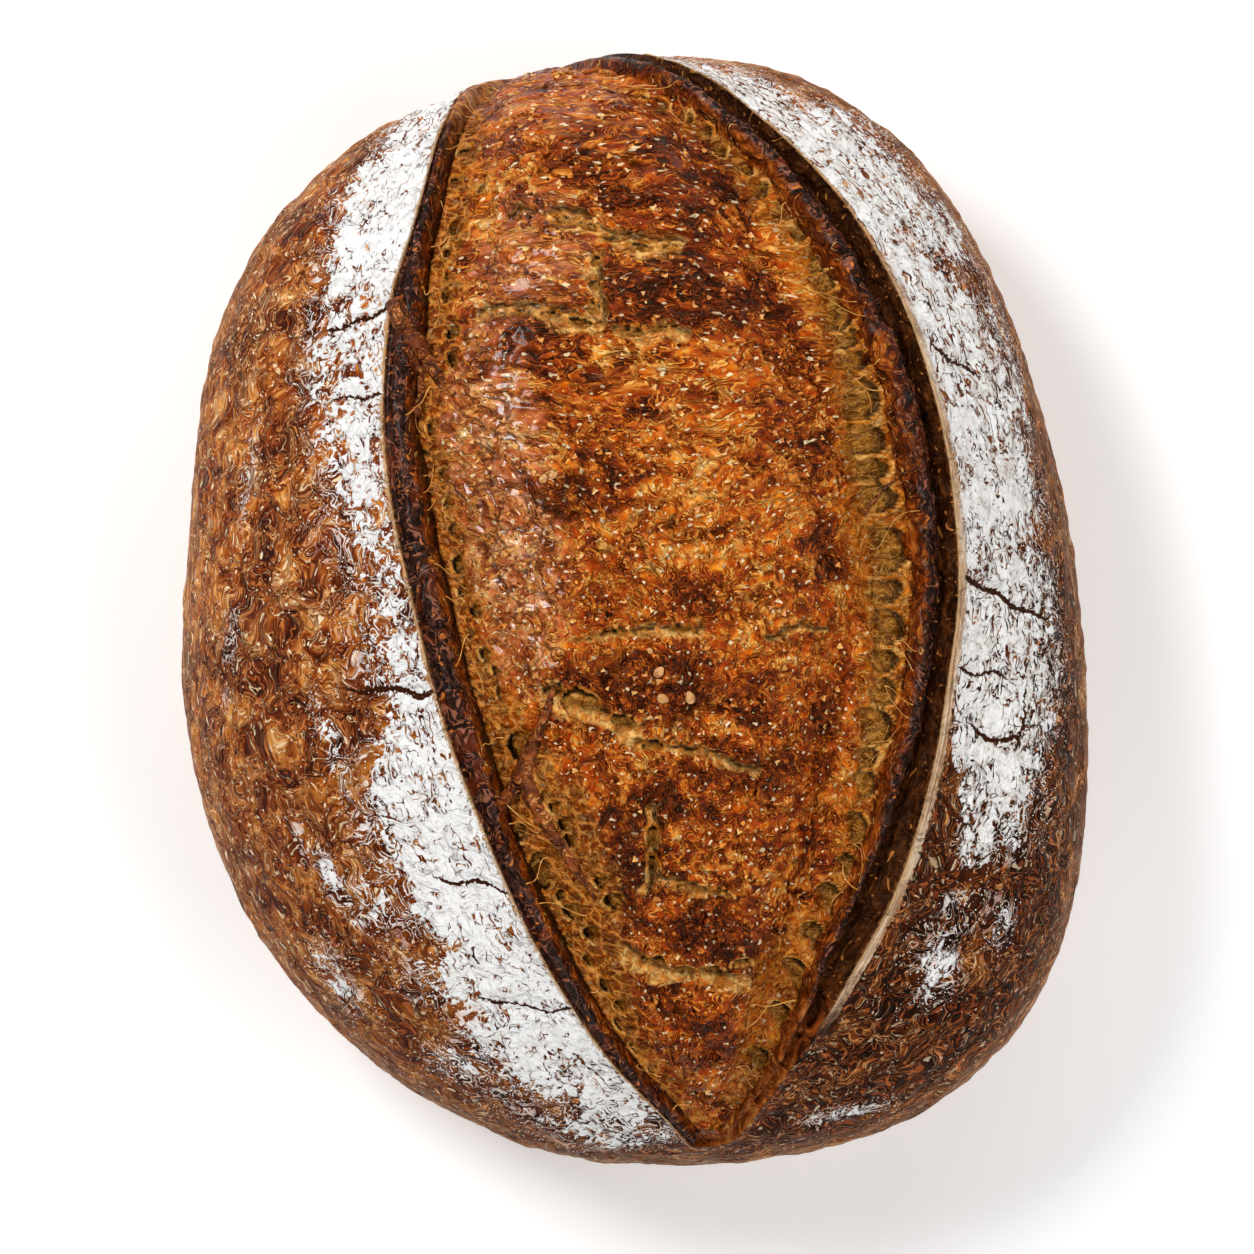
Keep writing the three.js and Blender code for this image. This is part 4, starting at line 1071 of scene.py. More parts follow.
# %% A wire of a node tree
class Wire:
    """An output socket that can be added, multiplied and so on."""

    def __init__(self, socket):
        self.socket = socket
        self.tree = socket.id_data

    def math(self, operation, *others, clamp=False):
        inputs = dict(enumerate((self, *others)))
        return attach(self.tree, "ShaderNodeMath", inputs, operation=operation, use_clamp=clamp)

    def __add__(self, other):
        return self.math("ADD", other)

    def __sub__(self, other):
        return self.math("SUBTRACT", other)

    def __rsub__(self, other):
        return self.math("MULTIPLY_ADD", -1.0, other)

    def __mul__(self, other):
        return self.math("MULTIPLY", other)

    __radd__ = __add__
    __rmul__ = __mul__

    def most(self, other):
        return self.math("MAXIMUM", other)

    def clamped(self):
        return self.math("ADD", 0.0, clamp=True)

    def size(self):
        return self.math("ABSOLUTE")

    def fraction(self):
        return self.math("FRACT")

    def step(self, low, high):
        """0 below low, 1 above high, smooth between; high may be the smaller one."""
        inputs = {"Value": self, "From Min": min(low, high), "From Max": max(low, high),
                  "To Min": float(low > high), "To Max": float(low <= high)}
        return attach(self.tree, "ShaderNodeMapRange", inputs, interpolation_type="SMOOTHSTEP")

    def scaled(self, factors):
        """A vector times one number for each axis."""
        return attach(self.tree, "ShaderNodeVectorMath", {0: self, 1: factors}, operation="MULTIPLY")

    def moved(self, other):
        return attach(self.tree, "ShaderNodeVectorMath", {0: self, 1: other}, operation="ADD")


def new_node(tree, kind, **settings):
    made = tree.nodes.new(kind)
    for name, value in settings.items():
        setattr(made, name, value)
    return made


def plug(value, socket):
    if isinstance(value, Wire):
        socket.id_data.links.new(value.socket, socket)
    else:
        socket.default_value = value


def attach(tree, kind, inputs, output=0, **settings):
    """Adds a node, sets or joins its inputs by name or number, and gives one of its outputs."""
    made = new_node(tree, kind, **settings)
    for name, value in inputs.items():
        plug(value, made.inputs[name])
    return Wire(made.outputs[output])


def set_inputs(node, **values):
    """Sets or joins inputs of a node; spaces in a socket's name are underscores here."""
    for name, value in values.items():
        plug(value, node.inputs[name.replace("_", " ")])


def noise(vector, scale, detail=2.0, roughness=0.5, distortion=0.0, output="Fac"):
    inputs = {"Vector": vector, "Scale": scale, "Detail": detail, "Roughness": roughness,
              "Distortion": distortion}
    return attach(vector.tree, "ShaderNodeTexNoise", inputs, output)


def noise_vector(vector, scale, detail=2.0):
    return noise(vector, scale, detail, output="Color")


def colour(red, green, blue):
    """A colour given as it looks on a screen, 0 to 255, as the linear numbers that a shader takes."""
    def linear(part):
        part = part / 255
        return part / 12.92 if part <= 0.04045 else ((part + 0.055) / 1.055) ** 2.4
    return (linear(red), linear(green), linear(blue), 1.0)


def ramp(value, stops):
    """A colour along a row of stops, each a place and a colour as it looks on a screen."""
    made = new_node(value.tree, "ShaderNodeValToRGB")
    plug(value, made.inputs[0])
    points = made.color_ramp.elements
    while len(points) < len(stops):
        points.new(0.5)
    for point, (place, _) in zip(points, stops):
        point.position = place
    for point, (_, tone) in zip(points, stops):
        point.color = colour(*tone)
    return Wire(made.outputs["Color"])


def blend(share, first, second):
    """A colour between two, by a share. A Mix node's colour sockets are its inputs 6 and 7 and output 2."""
    tree = next(x.tree for x in (share, first, second) if isinstance(x, Wire))
    return attach(tree, "ShaderNodeMix", {0: share, 6: first, 7: second}, 2, data_type="RGBA")


# %% [markdown]
# ## Grain shared by the finishes
# Two groups serve every baked surface. One bends the place a little and gives blotches, folds, curls with a
# lit edge and a dark foot, thin worm-like crests and specks, because a skin of starch and gluten shrinks
# into fine folds. The lit edges are painted highlight and the dark feet painted shade. The other says where
# dusted flour still lies.

# %% Node groups for baked grain and flour
def new_group(name, inputs, outputs):
    group = bpy.data.node_groups.new(name, "ShaderNodeTree")
    for direction, names in (("INPUT", inputs), ("OUTPUT", outputs)):
        for socket, kind in names:
            group.interface.new_socket(socket, in_out=direction, socket_type=f"NodeSocket{kind}")
    start, end = group.nodes.new("NodeGroupInput"), group.nodes.new("NodeGroupOutput")
    wires = {socket.name: Wire(socket) for socket in start.outputs if socket.name}
    return group, wires, end


def use_group(tree, group, **values):
    """Places a group in a material and gives its outputs, named in lower case."""
    made = new_node(tree, "ShaderNodeGroup", node_tree=group)
    set_inputs(made, **values)
    return SimpleNamespace(**{socket.name.lower(): Wire(socket) for socket in made.outputs})


def spread_out(fac):
    """A noise value, which keeps near a half, stretched to about -1 to 1."""
    return (fac - 0.5) * 4.0


def worms(place, scale, wide, detail=1.0):
    """Thin winding lines, where a noise passes a half."""
    return (noise(place, scale, detail, 0.4) - 0.5).size().step(wide, wide * 0.2)


def terraces(level, count, here):
    """Terraces of a noise that rise slowly and drop at once: their height, lit edge and dark foot.

    The lit edge is for painted highlight and the dark foot for painted shade.
    """
    saw = (level * count).fraction()
    return (saw - 0.5) * here, saw.step(0.74, 0.96) * here, saw.step(0.3, 0.03) * here


GRAIN = ("Blotch", "Fold", "Fine", "Curl", "Rim", "Foot", "Wisp", "Glint", "Hollow", "Stroke", "Speck",
         "Line")


def grain_group():
    """Place in mm, and how far the grain runs crosswise, to tones of about -1 to 1 and masks of 0 to 1."""
    group, wires, end = new_group("baked grain", [("Place", "Vector"), ("Stretch", "Float")],
                                  [(name, "Float") for name in GRAIN])
    place = wires["Place"]
    narrower = 1.0 - wires["Stretch"] * 0.55
    squeeze = attach(group, "ShaderNodeCombineXYZ", {0: narrower, 1: 1.0, 2: 1.0})
    base = place.scaled(squeeze)
    drift = noise_vector(base, 0.18, 1).moved((-0.5, -0.5, -0.5))
    bent = base.moved(drift.scaled((14.0, 14.0, 14.0)))
    blotch = spread_out(noise(base.moved(drift.scaled((6.0, 6.0, 6.0))), 0.13, 2, 0.6))
    fold = spread_out(noise(bent, 0.24, 1))
    fine = spread_out(noise(bent, 0.9, 1, 0.6))
    gate = noise(base.moved((3.0, 41.0, 9.0)), 0.34, 0)
    level = noise(bent.moved((31.0, 7.0, 13.0)), 0.2, 2, 0.4)
    # The curl's lit edge is painted highlight and its dark foot painted shade.
    curl, rim, foot = terraces(level, 9.0, gate.step(0.38, 0.5))
    other = noise(base.moved((23.0, 11.0, 49.0)), 0.5, 0)
    level = noise(bent.moved((11.0, 57.0, 3.0)), 0.44, 1, 0.4)
    # The same for the wisps: the glint is painted highlight and the hollow painted shade.
    wisp, glint, hollow = terraces(level, 5.5, other.step(0.46, 0.56))
    stroke = worms(bent.moved((17.0, 5.0, 3.0)), 0.24, 0.018) * other.step(0.5, 0.44)
    contour = (noise(bent.moved((5.0, 27.0, 61.0)), 0.19, 1, 0.45) * 7.0).fraction() - 0.5
    line = contour.size().step(0.2, 0.09) * other.step(0.42, 0.52)
    speck = noise(base.moved((2.0, 67.0, 31.0)), 0.85, 0).step(0.73, 0.78)
    values = (blotch, fold, fine, curl, rim, foot, wisp, glint, hollow, stroke, speck, line)
    for name, value in zip(GRAIN, values):
        plug(value, end.inputs[name])
    return group


def flour_group():
    """Place in mm, place along and across the lip in mm, and thickness, to a mask, height and tone."""
    group, wires, end = new_group("dusted flour", [("Place", "Vector"), ("Lengthwise", "Vector"),
                                                   ("Amount", "Float"), ("Streaks", "Float")],
                                  [("Mask", "Float"), ("Height", "Float"), ("Tone", "Float")])
    place, along, amount, streaks = (wires[n] for n in ("Place", "Lengthwise", "Amount", "Streaks"))
    bend = noise_vector(place, 0.26, 1).moved((-0.5, -0.5, -0.5)).scaled((9.0, 9.0, 9.0))
    bent = place.moved(bend)
    drawn = along.scaled((0.35, 1.0, 1.0)).moved(bend.scaled((0.3, 0.3, 0.3)))
    clump = spread_out(noise(bent, 0.13, 1, 0.6))
    ragged = spread_out(noise(bent, 0.4, 2, 0.6))
    streak = spread_out(noise(drawn, 0.36, 2, 0.6))
    gate = noise(place.moved((9.0, 2.0, 30.0)), 0.5, 0)
    cluster = noise(place.moved((19.0, 12.0, 3.0)), 0.12, 0) + streaks * 0.1
    worm = worms(bent.moved((7.0, 3.0, 1.0)), 0.26, 0.028) * gate.step(0.5, 0.54)
    dash = worms(drawn.moved((27.0, 3.0, 1.0)), 0.55, 0.07) * cluster.step(0.5, 0.58) * gate.step(0.6, 0.52)
    lies = (amount - 0.55) * 1.7 + clump * (0.3 - streaks * 0.1) + ragged * 0.4
    lies = lies + streak * (0.06 + streaks * 0.34) - worm * 1.2 - dash * 1.2
    level = noise(bent.moved((51.0, 3.0, 8.0)), 0.15, 1, 0.4)
    plates, _, dip = terraces(level, 9.0, gate.step(0.42, 0.5))
    # Painted light and shade: each flour plate gets brighter as it rises and darker at its foot.
    tone = 0.8 + ragged * 0.08 + clump * 0.05 + plates * 0.1 - dip * 0.16 - streaks * (0.08 - streak * 0.16)
    thin = lies.step(0.0, 0.06) * (1.0 - streaks) + lies.step(-0.04, 0.2) * streaks
    plug(thin * amount.step(0.02, 0.12), end.inputs["Mask"])
    plug(lies.step(-0.2, 0.6) + plates * 0.5, end.inputs["Height"])
    plug(tone, end.inputs["Tone"])
    return group


baked_grain = grain_group()
dusted_flour = flour_group()


def new_material(name):
    """A material, its tree, its shader and the place on the loaf in mm."""
    material = bpy.data.materials.new(name)
    material.use_nodes = True
    tree = material.node_tree
    tree.nodes.clear()
    shader = tree.nodes.new("ShaderNodeBsdfPrincipled")
    tree.links.new(shader.outputs[0], tree.nodes.new("ShaderNodeOutputMaterial").inputs[0])
    place = attach(tree, "ShaderNodeTexCoord", {}, "Object").scaled((1 / MM,) * 3)
    return material, tree, shader, place


def number(tree, name, output="Fac"):
    """A number that the mesh carries on its points."""
    return attach(tree, "ShaderNodeAttribute", {}, output, attribute_name=name, attribute_type="GEOMETRY")


def bump(shader, height):
    """Relief finer than the mesh, given in mm."""
    inputs = {"Strength": 1.0, "Distance": MM, "Height": height}
    plug(attach(shader.id_data, "ShaderNodeBump", inputs), shader.inputs["Normal"])


# %% [markdown]
# ## The crust's finish
# Outside the score the crust is mottled orange-brown to dark brown, paler along the rim that the heat
# reached least, with the flour on top, and darker towards the lower right, partly by its bake and partly
# as painted shade. The lips carry a thin tan edge. Inside them the left band is purple-black with
# ember-orange flecks; on the right a smooth dark wall comes first, then a charred crest that turns orange
# on its inner side. The crevice beyond the bands is painted near-black as shade.

# %% Crust material
def crust_skin(grain, tone, cloud, streak, dark):
    """The crust outside the score: mottled, with brown clouds, dark hollows and pale crests.

    The dark hollows are painted shade, and the crests are partly painted highlight.
    """
    skin = ramp(tone, [(0.05, (40, 12, 6)), (0.24, (88, 30, 10)), (0.4, (140, 60, 18)),
                       (0.56, (188, 104, 36)), (0.74, (222, 146, 66)), (0.95, (248, 200, 128))])
    # Painted shade in part: the lower right darkens partly by its bake, partly as shade away from the key
    # light.
    baked = ramp(tone * 0.9 + streak * 0.12 - 0.06,
                 [(0.05, (16, 4, 1)), (0.3, (42, 13, 3)), (0.5, (80, 34, 9)), (0.68, (128, 66, 22)),
                  (0.84, (180, 112, 52)), (0.98, (232, 178, 118))])
    skin = blend(dark, skin, baked)
    brown = ramp(tone, [(0.2, (40, 13, 9)), (0.55, (98, 40, 22)), (0.9, (168, 92, 52))])
    skin = blend(cloud.step(0.49, 0.57) * 0.8 * (1.0 - dark), skin, brown)
    # Painted shade at the foot of each curl and in the hollows of the grain.
    skin = blend(grain.foot.most(grain.hollow) * 0.45, skin, colour(48, 16, 6))
    crest = ramp(tone - dark * 0.2, [(0.1, (150, 68, 30)), (0.35, (208, 116, 56)), (0.6, (244, 172, 102)),
                                     (0.9, (255, 222, 170))])
    # Painted highlight on the lit edges of the curls, with pale contour lines.
    skin = blend((grain.rim * 0.7).most(grain.line * 0.62), skin, crest)
    pale = 1.0 - dark * 0.45
    # Pale strokes and cream specks: partly dried skin, partly painted glints.
    skin = blend(grain.stroke * 0.9 * pale, skin, colour(252, 216, 166))
    return blend(grain.speck * 0.95 * pale, skin, colour(254, 228, 188))


def side_skin(grain, streak):
    """The paler crust low on the side, with pale and dark streaks."""
    skin = blend(streak.step(0.34, 0.58), colour(152, 76, 24), colour(238, 160, 84))
    skin = blend(streak.step(0.55, 0.62) * grain.fold.step(-0.5, 0.2), skin, colour(246, 214, 172))
    # Painted shade in the low parts of the folds and at the feet of the curls, and painted highlight on their
    # lit edges.
    skin = blend(grain.fold.step(0.0, -0.6) * 0.5, skin, colour(88, 40, 14))
    skin = blend(grain.foot.most(grain.hollow) * 0.6, skin, colour(60, 22, 6))
    return blend(grain.rim * 0.6, skin, colour(250, 204, 148))


def burnt_band(grain, place, fibre, side, jag):
    """The bands inside the lips: char, then torn dough, and on the right a smooth wall before them."""
    crackle = grain.curl * 0.3 + grain.wisp * 0.2 + grain.fine * 0.08
    char = ramp(spread_out(fibre) * 0.16 + crackle * 1.1 + 0.42 - side * 0.05,
                [(0.2, (9, 4, 3)), (0.4, (32, 16, 13)), (0.58, (66, 38, 32)), (0.76, (112, 70, 58)),
                 (0.95, (190, 140, 112))])
    ember = ramp(crackle + 0.5, [(0.25, (46, 14, 5)), (0.6, (122, 48, 16)), (0.95, (196, 108, 48))])
    char = blend((grain.fold * 0.3 + noise(place, 0.16, 1)).step(0.56, 0.68) * 0.6, char, ember)
    char = blend(grain.line * 0.6, char, colour(178, 110, 82))
    char = blend(grain.speck * 0.8, char, colour(220, 124, 50))
    torn = ramp(grain.fold * 0.2 + spread_out(fibre) * 0.12 + crackle + 0.4,
                [(0.15, (34, 10, 2)), (0.4, (98, 36, 6)), (0.6, (164, 78, 16)), (0.85, (228, 152, 66))])
    torn = blend(grain.stroke * 0.8, torn, colour(240, 186, 108))
    left = blend(jag.step(6.3, 7.0), char, torn)
    wall = ramp(spread_out(fibre) * 0.24 + grain.fine * 0.06 + grain.wisp * 0.1 + 0.48,
                [(0.15, (14, 5, 2)), (0.45, (44, 19, 6)), (0.65, (82, 41, 14)), (0.88, (162, 96, 38))])
    wall = blend(grain.speck * 0.6, wall, colour(206, 130, 60))
    right = blend(jag.step(5.2, 5.9), wall, char)
    return blend(side, left, blend(jag.step(9.6, 11.4), right, torn))


def crust_material():
    material, tree, shader, place = new_material("baked_crust")
    lengthwise = number(tree, "grain", "Vector")
    swirl = noise_vector(place, 0.12, 1).scaled((9.0, 9.0, 9.0))
    # Squeezed upwards, the grain runs round the loaf like the rings of a proving basket.
    grain = use_group(tree, baked_grain, Place=place.scaled((0.75, 0.75, 1.4)).moved(swirl), Stretch=0.0)
    inner, side, burn, amount, dark, low, plain, crack_width = (number(tree, name) for name in (
        "inner", "right_side", "burn", "flour", "dark", "low", "plain", "crack_width"))
    outer = 1.0 - inner

    tone = (grain.blotch * 0.3 + grain.fold * 0.24 + grain.curl * 0.26 + grain.fine * 0.08
            + grain.wisp * 0.14 + 0.45)
    streak = noise(place.scaled((0.06, 0.06, 0.42)).moved(swirl.scaled((0.05, 0.05, 0.05))), 1.0, 2, 0.6)
    cloud = noise(place.moved(swirl), 0.07, 2, 0.6) + spread_out(streak) * 0.03 + grain.fold * 0.05
    skin = crust_skin(grain, tone, cloud, spread_out(streak), dark)
    skin = blend(low * 0.85 * (1.0 - dark * 0.15), skin, side_skin(grain, streak))

    wander = (noise(place, 0.9, 1) - 0.5) * 1.8
    crack = (number(tree, "crack") + wander).size() - crack_width * 0.5
    crack = crack.step(0.15, -0.1) * crack_width.step(0.02, 0.2)
    skin = blend(crack, skin, colour(58, 24, 8))

    # Flour, the bare strip beside the right lip, and the tan edge of both lips.
    flour = use_group(tree, dusted_flour, Place=place, Lengthwise=lengthwise, Amount=amount, Streaks=side)
    curls = grain.line.most(grain.stroke) * amount.step(0.14, 0.5)
    flour_mask = flour.mask.most(curls * 0.85) * (1.0 - crack) * outer
    lip_noise = (noise(place, 0.8, 1) - 0.5) * 2.0
    edge = number(tree, "lip_distance") + lip_noise
    bare = edge.step(2.9, 2.2) * (number(tree, "lip_up").step(92.0, 60.0) * side) * outer
    bare = bare * (1.0 - plain) * (0.8 + grain.fold * 0.25).clamped()
    hair = ramp(noise(lengthwise.scaled((0.06, 1.6, 1.0)), 1.0, 1),
                [(0.3, (164, 112, 72)), (0.5, (224, 188, 150)), (0.7, (248, 230, 206))])
    skin = blend(bare, skin, hair)
    powder = ramp(flour.tone, [(0.3, (190, 166, 146)), (0.5, (222, 210, 200)), (0.75, (248, 246, 243)),
                               (0.95, (255, 255, 255))])
    skin = blend(flour_mask * (1.0 - bare * 0.85), skin, powder)
    skin = blend(edge.step(0.9, 0.3) * outer * (1.0 - plain) * 0.8, skin, colour(206, 164, 116))

    # Inside the lips, where both ends of the opening are plain skin.
    fibre = noise(lengthwise.scaled((0.2, 0.9, 1.0)), 1.0, 2, 0.6)
    jag = (noise(place, 0.3, 2) - 0.5) * 6.0 + burn
    band = burnt_band(grain, place, fibre, side, jag)
    skin_like = ramp(tone * 0.8 + spread_out(streak) * 0.14 + (1.0 - side) * 0.2,
                     [(0.1, (52, 18, 4)), (0.42, (140, 66, 20)), (0.75, (224, 146, 70))])
    band = blend(plain * (1.0 - jag.step(6.0, 9.0) * side * 0.5), band, skin_like)
    # Painted shade: the crevice, where the crust dives under the belly, is painted near-black.
    deep = (burn - side * 6.2).step(7.3, 8.0)
    band = blend(deep * 0.9 * (1.0 - plain * 0.7), band, colour(26, 10, 2))
    edge_line = (burn + lip_noise * 0.5).step(0.5, 0.1) * (1.0 - plain)
    band = blend(edge_line * 0.5, band, colour(170, 118, 70))

    set_inputs(shader, Base_Color=blend(inner, skin, band),
               Roughness=0.52 + 0.4 * flour_mask - 0.16 * inner + grain.fine * 0.05,
               Coat_Weight=inner * jag.step(4.8, 6.2).most(1.0 - side) * 0.16, Coat_Roughness=0.3,
               Specular_IOR_Level=0.1, Specular_Tint=colour(255, 196, 148))
    height = grain.fold * 0.26 + grain.stroke * 0.22 + grain.curl * 0.54 + grain.wisp * 0.24
    height = height * (1.0 - flour.mask * 0.6) + flour.height * flour.mask * 0.5
    bump(shader, height + fibre * 0.7 * inner + streak * low * 0.6)
    return material


# %% [markdown]
# ## The belly's finish
# The belly is glossy where gluten film dried on it. Its folds go from pale gold on their crests through
# orange-brown to dark red-brown in their hollows; the lit edges of the crests get painted highlight and
# the hollows painted shade. Toasted plates are shifted to the dark end. Beside both lips the skin is
# stretched to a golden brown film with pale threads, and painted shade darkens it where it reaches under
# the lip.

# %% Belly material
def belly_skin(get, grain, stretched, lower_end):
    """The whole skin: folds, pale crests, shine and scorched spots, with painted highlight, shade and sheen."""
    toast = get("toast")
    tone = (grain.fold * 0.17 + grain.blotch * 0.25 + grain.fine * 0.05 + get("crinkle") * 0.16
            + grain.curl * 0.25 + grain.wisp * 0.12 + get("scale") * 0.12 + 0.375 - toast * 0.22
            + get("pale") * 0.12 + stretched * 0.06 - get("crosswise") * 0.06 - lower_end * 0.07)
    skin = ramp(tone, [(0.0, (34, 8, 2)), (0.14, (70, 20, 5)), (0.28, (116, 36, 5)), (0.42, (164, 58, 5)),
                       (0.55, (202, 90, 8)), (0.68, (230, 124, 16)), (0.82, (248, 162, 38)),
                       (1.0, (255, 208, 96))])
    # Crests are a step paler than the skin they stand on, and the same colours paint highlights on lit edges.
    crest = ramp(tone, [(0.08, (150, 56, 18)), (0.26, (208, 96, 26)), (0.44, (248, 154, 52)),
                        (0.7, (255, 208, 112)), (0.95, (255, 238, 188))])
    # Painted shade at the foot of each curl and scale and in the hollows.
    dark = grain.foot.most(get("scale_foot") * 0.9).most(grain.hollow * 0.6)
    hollow = ramp(tone, [(0.1, (30, 7, 2)), (0.6, (88, 26, 6)), (0.9, (136, 54, 12))])
    skin = blend(dark * 0.72, skin, hollow)
    # Painted sheen: where the skin shines it is also painted a pale pinkish sheen.
    painted_sheen = ramp(grain.fold * 0.3 + grain.curl * 0.45 + 0.46,
                 [(0.1, (128, 44, 10)), (0.42, (200, 108, 56)), (0.7, (242, 184, 142)),
                  (0.9, (255, 224, 196))])
    skin = blend(get("gloss") * (1.0 - dark) * (1.0 - toast) * 0.7, skin, painted_sheen)
    # Painted highlight on lit edges and glints.
    lit = grain.rim * 0.8 + grain.glint * 0.65 + get("scale_rim") * 0.35
    skin = blend(lit.clamped(), skin, crest)
    skin = blend(grain.line * 0.45, skin, crest)
    # Pale strokes and cream specks: partly dried skin, partly painted glints.
    skin = blend(grain.stroke * 0.9, skin, crest)
    skin = blend(grain.speck * (0.95 - toast * 0.25), skin, colour(255, 228, 180))
    return blend(get("scorch") * grain.blotch.step(-0.6, 0.2) * 0.95, skin, colour(22, 8, 4))


def stretched_film(get, grain, thread, hair):
    """Stretched film keeps the skin's folds but is smoother and more golden."""
    film = ramp(thread * 0.26 + get("fingers") * 0.24 + grain.curl * 0.2 + get("crinkle") * 0.12 + 0.38,
                [(0.1, (40, 12, 0)), (0.36, (98, 38, 1)), (0.56, (146, 68, 2)), (0.76, (200, 114, 12)),
                 (0.97, (252, 196, 92))])
    # Painted shade where the film reaches under the right lip.
    film = blend(get("window_out") * get("window") * 0.5, film, colour(92, 52, 6))
    return blend(hair.most(grain.line * 0.8) * 0.4, film, colour(236, 176, 84))


def under_lips(skin, get, grain, thread):
    """The brink where the skin comes out from under each lip, and the web between the left pits."""
    ragged = ramp(grain.curl * 0.3 + grain.fold * 0.25 + grain.line * 0.3 + 0.42,
                  [(0.2, (64, 24, 3)), (0.5, (150, 72, 12)), (0.8, (226, 146, 54))])
    mouth = (get("near_right") + grain.fold * 0.8 + thread * 0.6).step(14.0, 12.6) * get("window")
    brink = (get("near_left") + grain.fold * 0.6).step(9.0, 7.6) * get("pocket")
    skin = blend(mouth.most(brink) * 0.9, skin, ragged)
    web = (get("pocket") * 1.4 - get("plates")).clamped()
    skin = blend(get("tear_pit").step(0.35, 0.9) * web * 0.55, skin, colour(98, 44, 10))
    return blend(get("tear_wall").step(0.35, 0.8) * web * 0.55, skin, colour(236, 150, 66))


def torn_dough(get, grain, thread, hair):
    """The floor of the torn places: small cells with pale walls, and painted shadow at the foot of the sharp
    edge.
    """
    torn = ramp(thread * 0.2 + grain.curl * 0.25 + 0.5,
                [(0.1, (150, 70, 12)), (0.5, (220, 136, 50)), (0.9, (255, 208, 128))])
    torn = blend(hair.most(grain.line) * 0.5, torn, colour(255, 208, 130))
    torn = blend(get("tear_pit").step(0.4, 0.9) * 0.5, torn, colour(150, 78, 20))
    torn = blend(get("tear_wall").step(0.3, 0.8) * 0.8, torn, colour(255, 204, 118))
    return blend(get("tear_foot") * 0.9, torn, colour(44, 18, 3))


def bubble_film(get, grain, thread, hair):
    """The film inside a bubble: threads run round it, paler on their crests."""
    rings = (get("hole_ring") * 5.0 + thread * 0.9).fraction().step(0.5, 0.85)
    film = ramp(thread * 0.3 + rings * 0.14 + get("hole_light") * 0.26 + grain.curl * 0.2 + 0.3,
                [(0.1, (34, 17, 1)), (0.36, (84, 48, 6)), (0.6, (136, 84, 20)), (0.82, (208, 142, 60)),
                 (0.98, (250, 208, 136))])
    return blend(grain.line.most(hair) * 0.4, film, colour(214, 156, 76))


def belly_material():
    material, tree, shader, place = new_material("blistered_belly")

    def get(name):
        return number(tree, name)

    grain = use_group(tree, baked_grain, Place=place, Stretch=get("crosswise"))
    stretched = get("window").most(get("pocket"))
    lower_end = attach(tree, "ShaderNodeSeparateXYZ", {0: place}, 1).step(-5.0, -60.0)
    skin = belly_skin(get, grain, stretched, lower_end)

    cross = number(tree, "grain", "Vector")
    swirl = noise_vector(place, 0.2, 1).scaled((6.0, 6.0, 6.0))
    thread = noise(cross.scaled((0.45, 0.2, 1.0)).moved(swirl.scaled((0.4, 0.4, 0.4))), 1.0, 2, 0.6)
    thread = spread_out(thread)
    hair = worms(cross.scaled((0.6, 0.14, 1.0)).moved(swirl.scaled((0.5, 0.5, 0.5))), 1.0, 0.04)
    film_share = (stretched + grain.fold * 0.25 + grain.curl * 0.3).step(0.25, 0.95)
    film_share = film_share * (0.78 - get("fingers") * 0.4)
    skin = blend(film_share, skin, stretched_film(get, grain, thread, hair))
    skin = under_lips(skin, get, grain, thread)
    torn_share = (get("tear") + grain.fold * 0.2 + grain.curl * 0.25).step(0.3, 0.85)
    skin = blend(torn_share, skin, torn_dough(get, grain, thread, hair))

    hole = get("hole")
    hole_share = (hole * 0.9 + grain.fold * 0.16 + grain.curl * 0.2).step(0.2, 0.85) * 0.9
    skin = blend(hole_share, skin, bubble_film(get, grain, thread, hair))
    # Painted shadow: the dark crescent in each bubble beside the lip or the torn edge.
    skin = blend(get("hole_deep").step(0.15, 0.8) * 0.96, skin, colour(20, 11, 3))
    rim = ramp(grain.fold * 0.25 + grain.wisp * 0.3 + 0.55,
               [(0.2, (150, 66, 6)), (0.5, (210, 124, 28)), (0.8, (250, 200, 116))])
    skin = blend(get("hole_rim").step(0.3, 0.85) * 0.85, skin, rim)
    skin = blend((get("plates") + grain.fine * 0.1).step(0.3, 0.8) * 0.7, skin, colour(96, 34, 8))

    set_inputs(shader, Base_Color=skin, Roughness=0.3 + grain.fine * 0.06, Specular_IOR_Level=0.25,
               Specular_Tint=colour(255, 206, 150), Coat_Weight=get("gloss") * 0.8, Coat_Roughness=0.16)
    height = (grain.fold * 0.36 + grain.curl * 0.74 + grain.wisp * 0.32 + grain.stroke * 0.28
              + grain.line * 0.25)
    bump(shader, height * (1.0 - (stretched * 0.3).most(hole * 0.55)))
    return material


crust.data.materials.append(crust_material())
belly.data.materials.append(belly_material())

# %% [markdown]
# ## Geometry Nodes helpers
# Strands, flakes and grains of flour repeat or follow a surface, so each kind is a small Geometry Nodes
# tree with named inputs. The tree is put on a piece, evaluated once, and its result kept as a plain mesh.

# %% Trees for strands and scattered pieces
def geometry_tree(name, **kinds):
    group = bpy.data.node_groups.new(name, "GeometryNodeTree")
    for socket, kind in (("Geometry", "Geometry"), *kinds.items()):
        group.interface.new_socket(socket, in_out="INPUT", socket_type=f"NodeSocket{kind}")
    group.interface.new_socket("Geometry", in_out="OUTPUT", socket_type="NodeSocketGeometry")
    start, end = group.nodes.new("NodeGroupInput"), group.nodes.new("NodeGroupOutput")
    return group, {socket.name: Wire(socket) for socket in start.outputs if socket.name}, end.inputs[0]


def named(tree, name):
    return attach(tree, "GeometryNodeInputNamedAttribute", {"Name": name}, data_type="FLOAT")


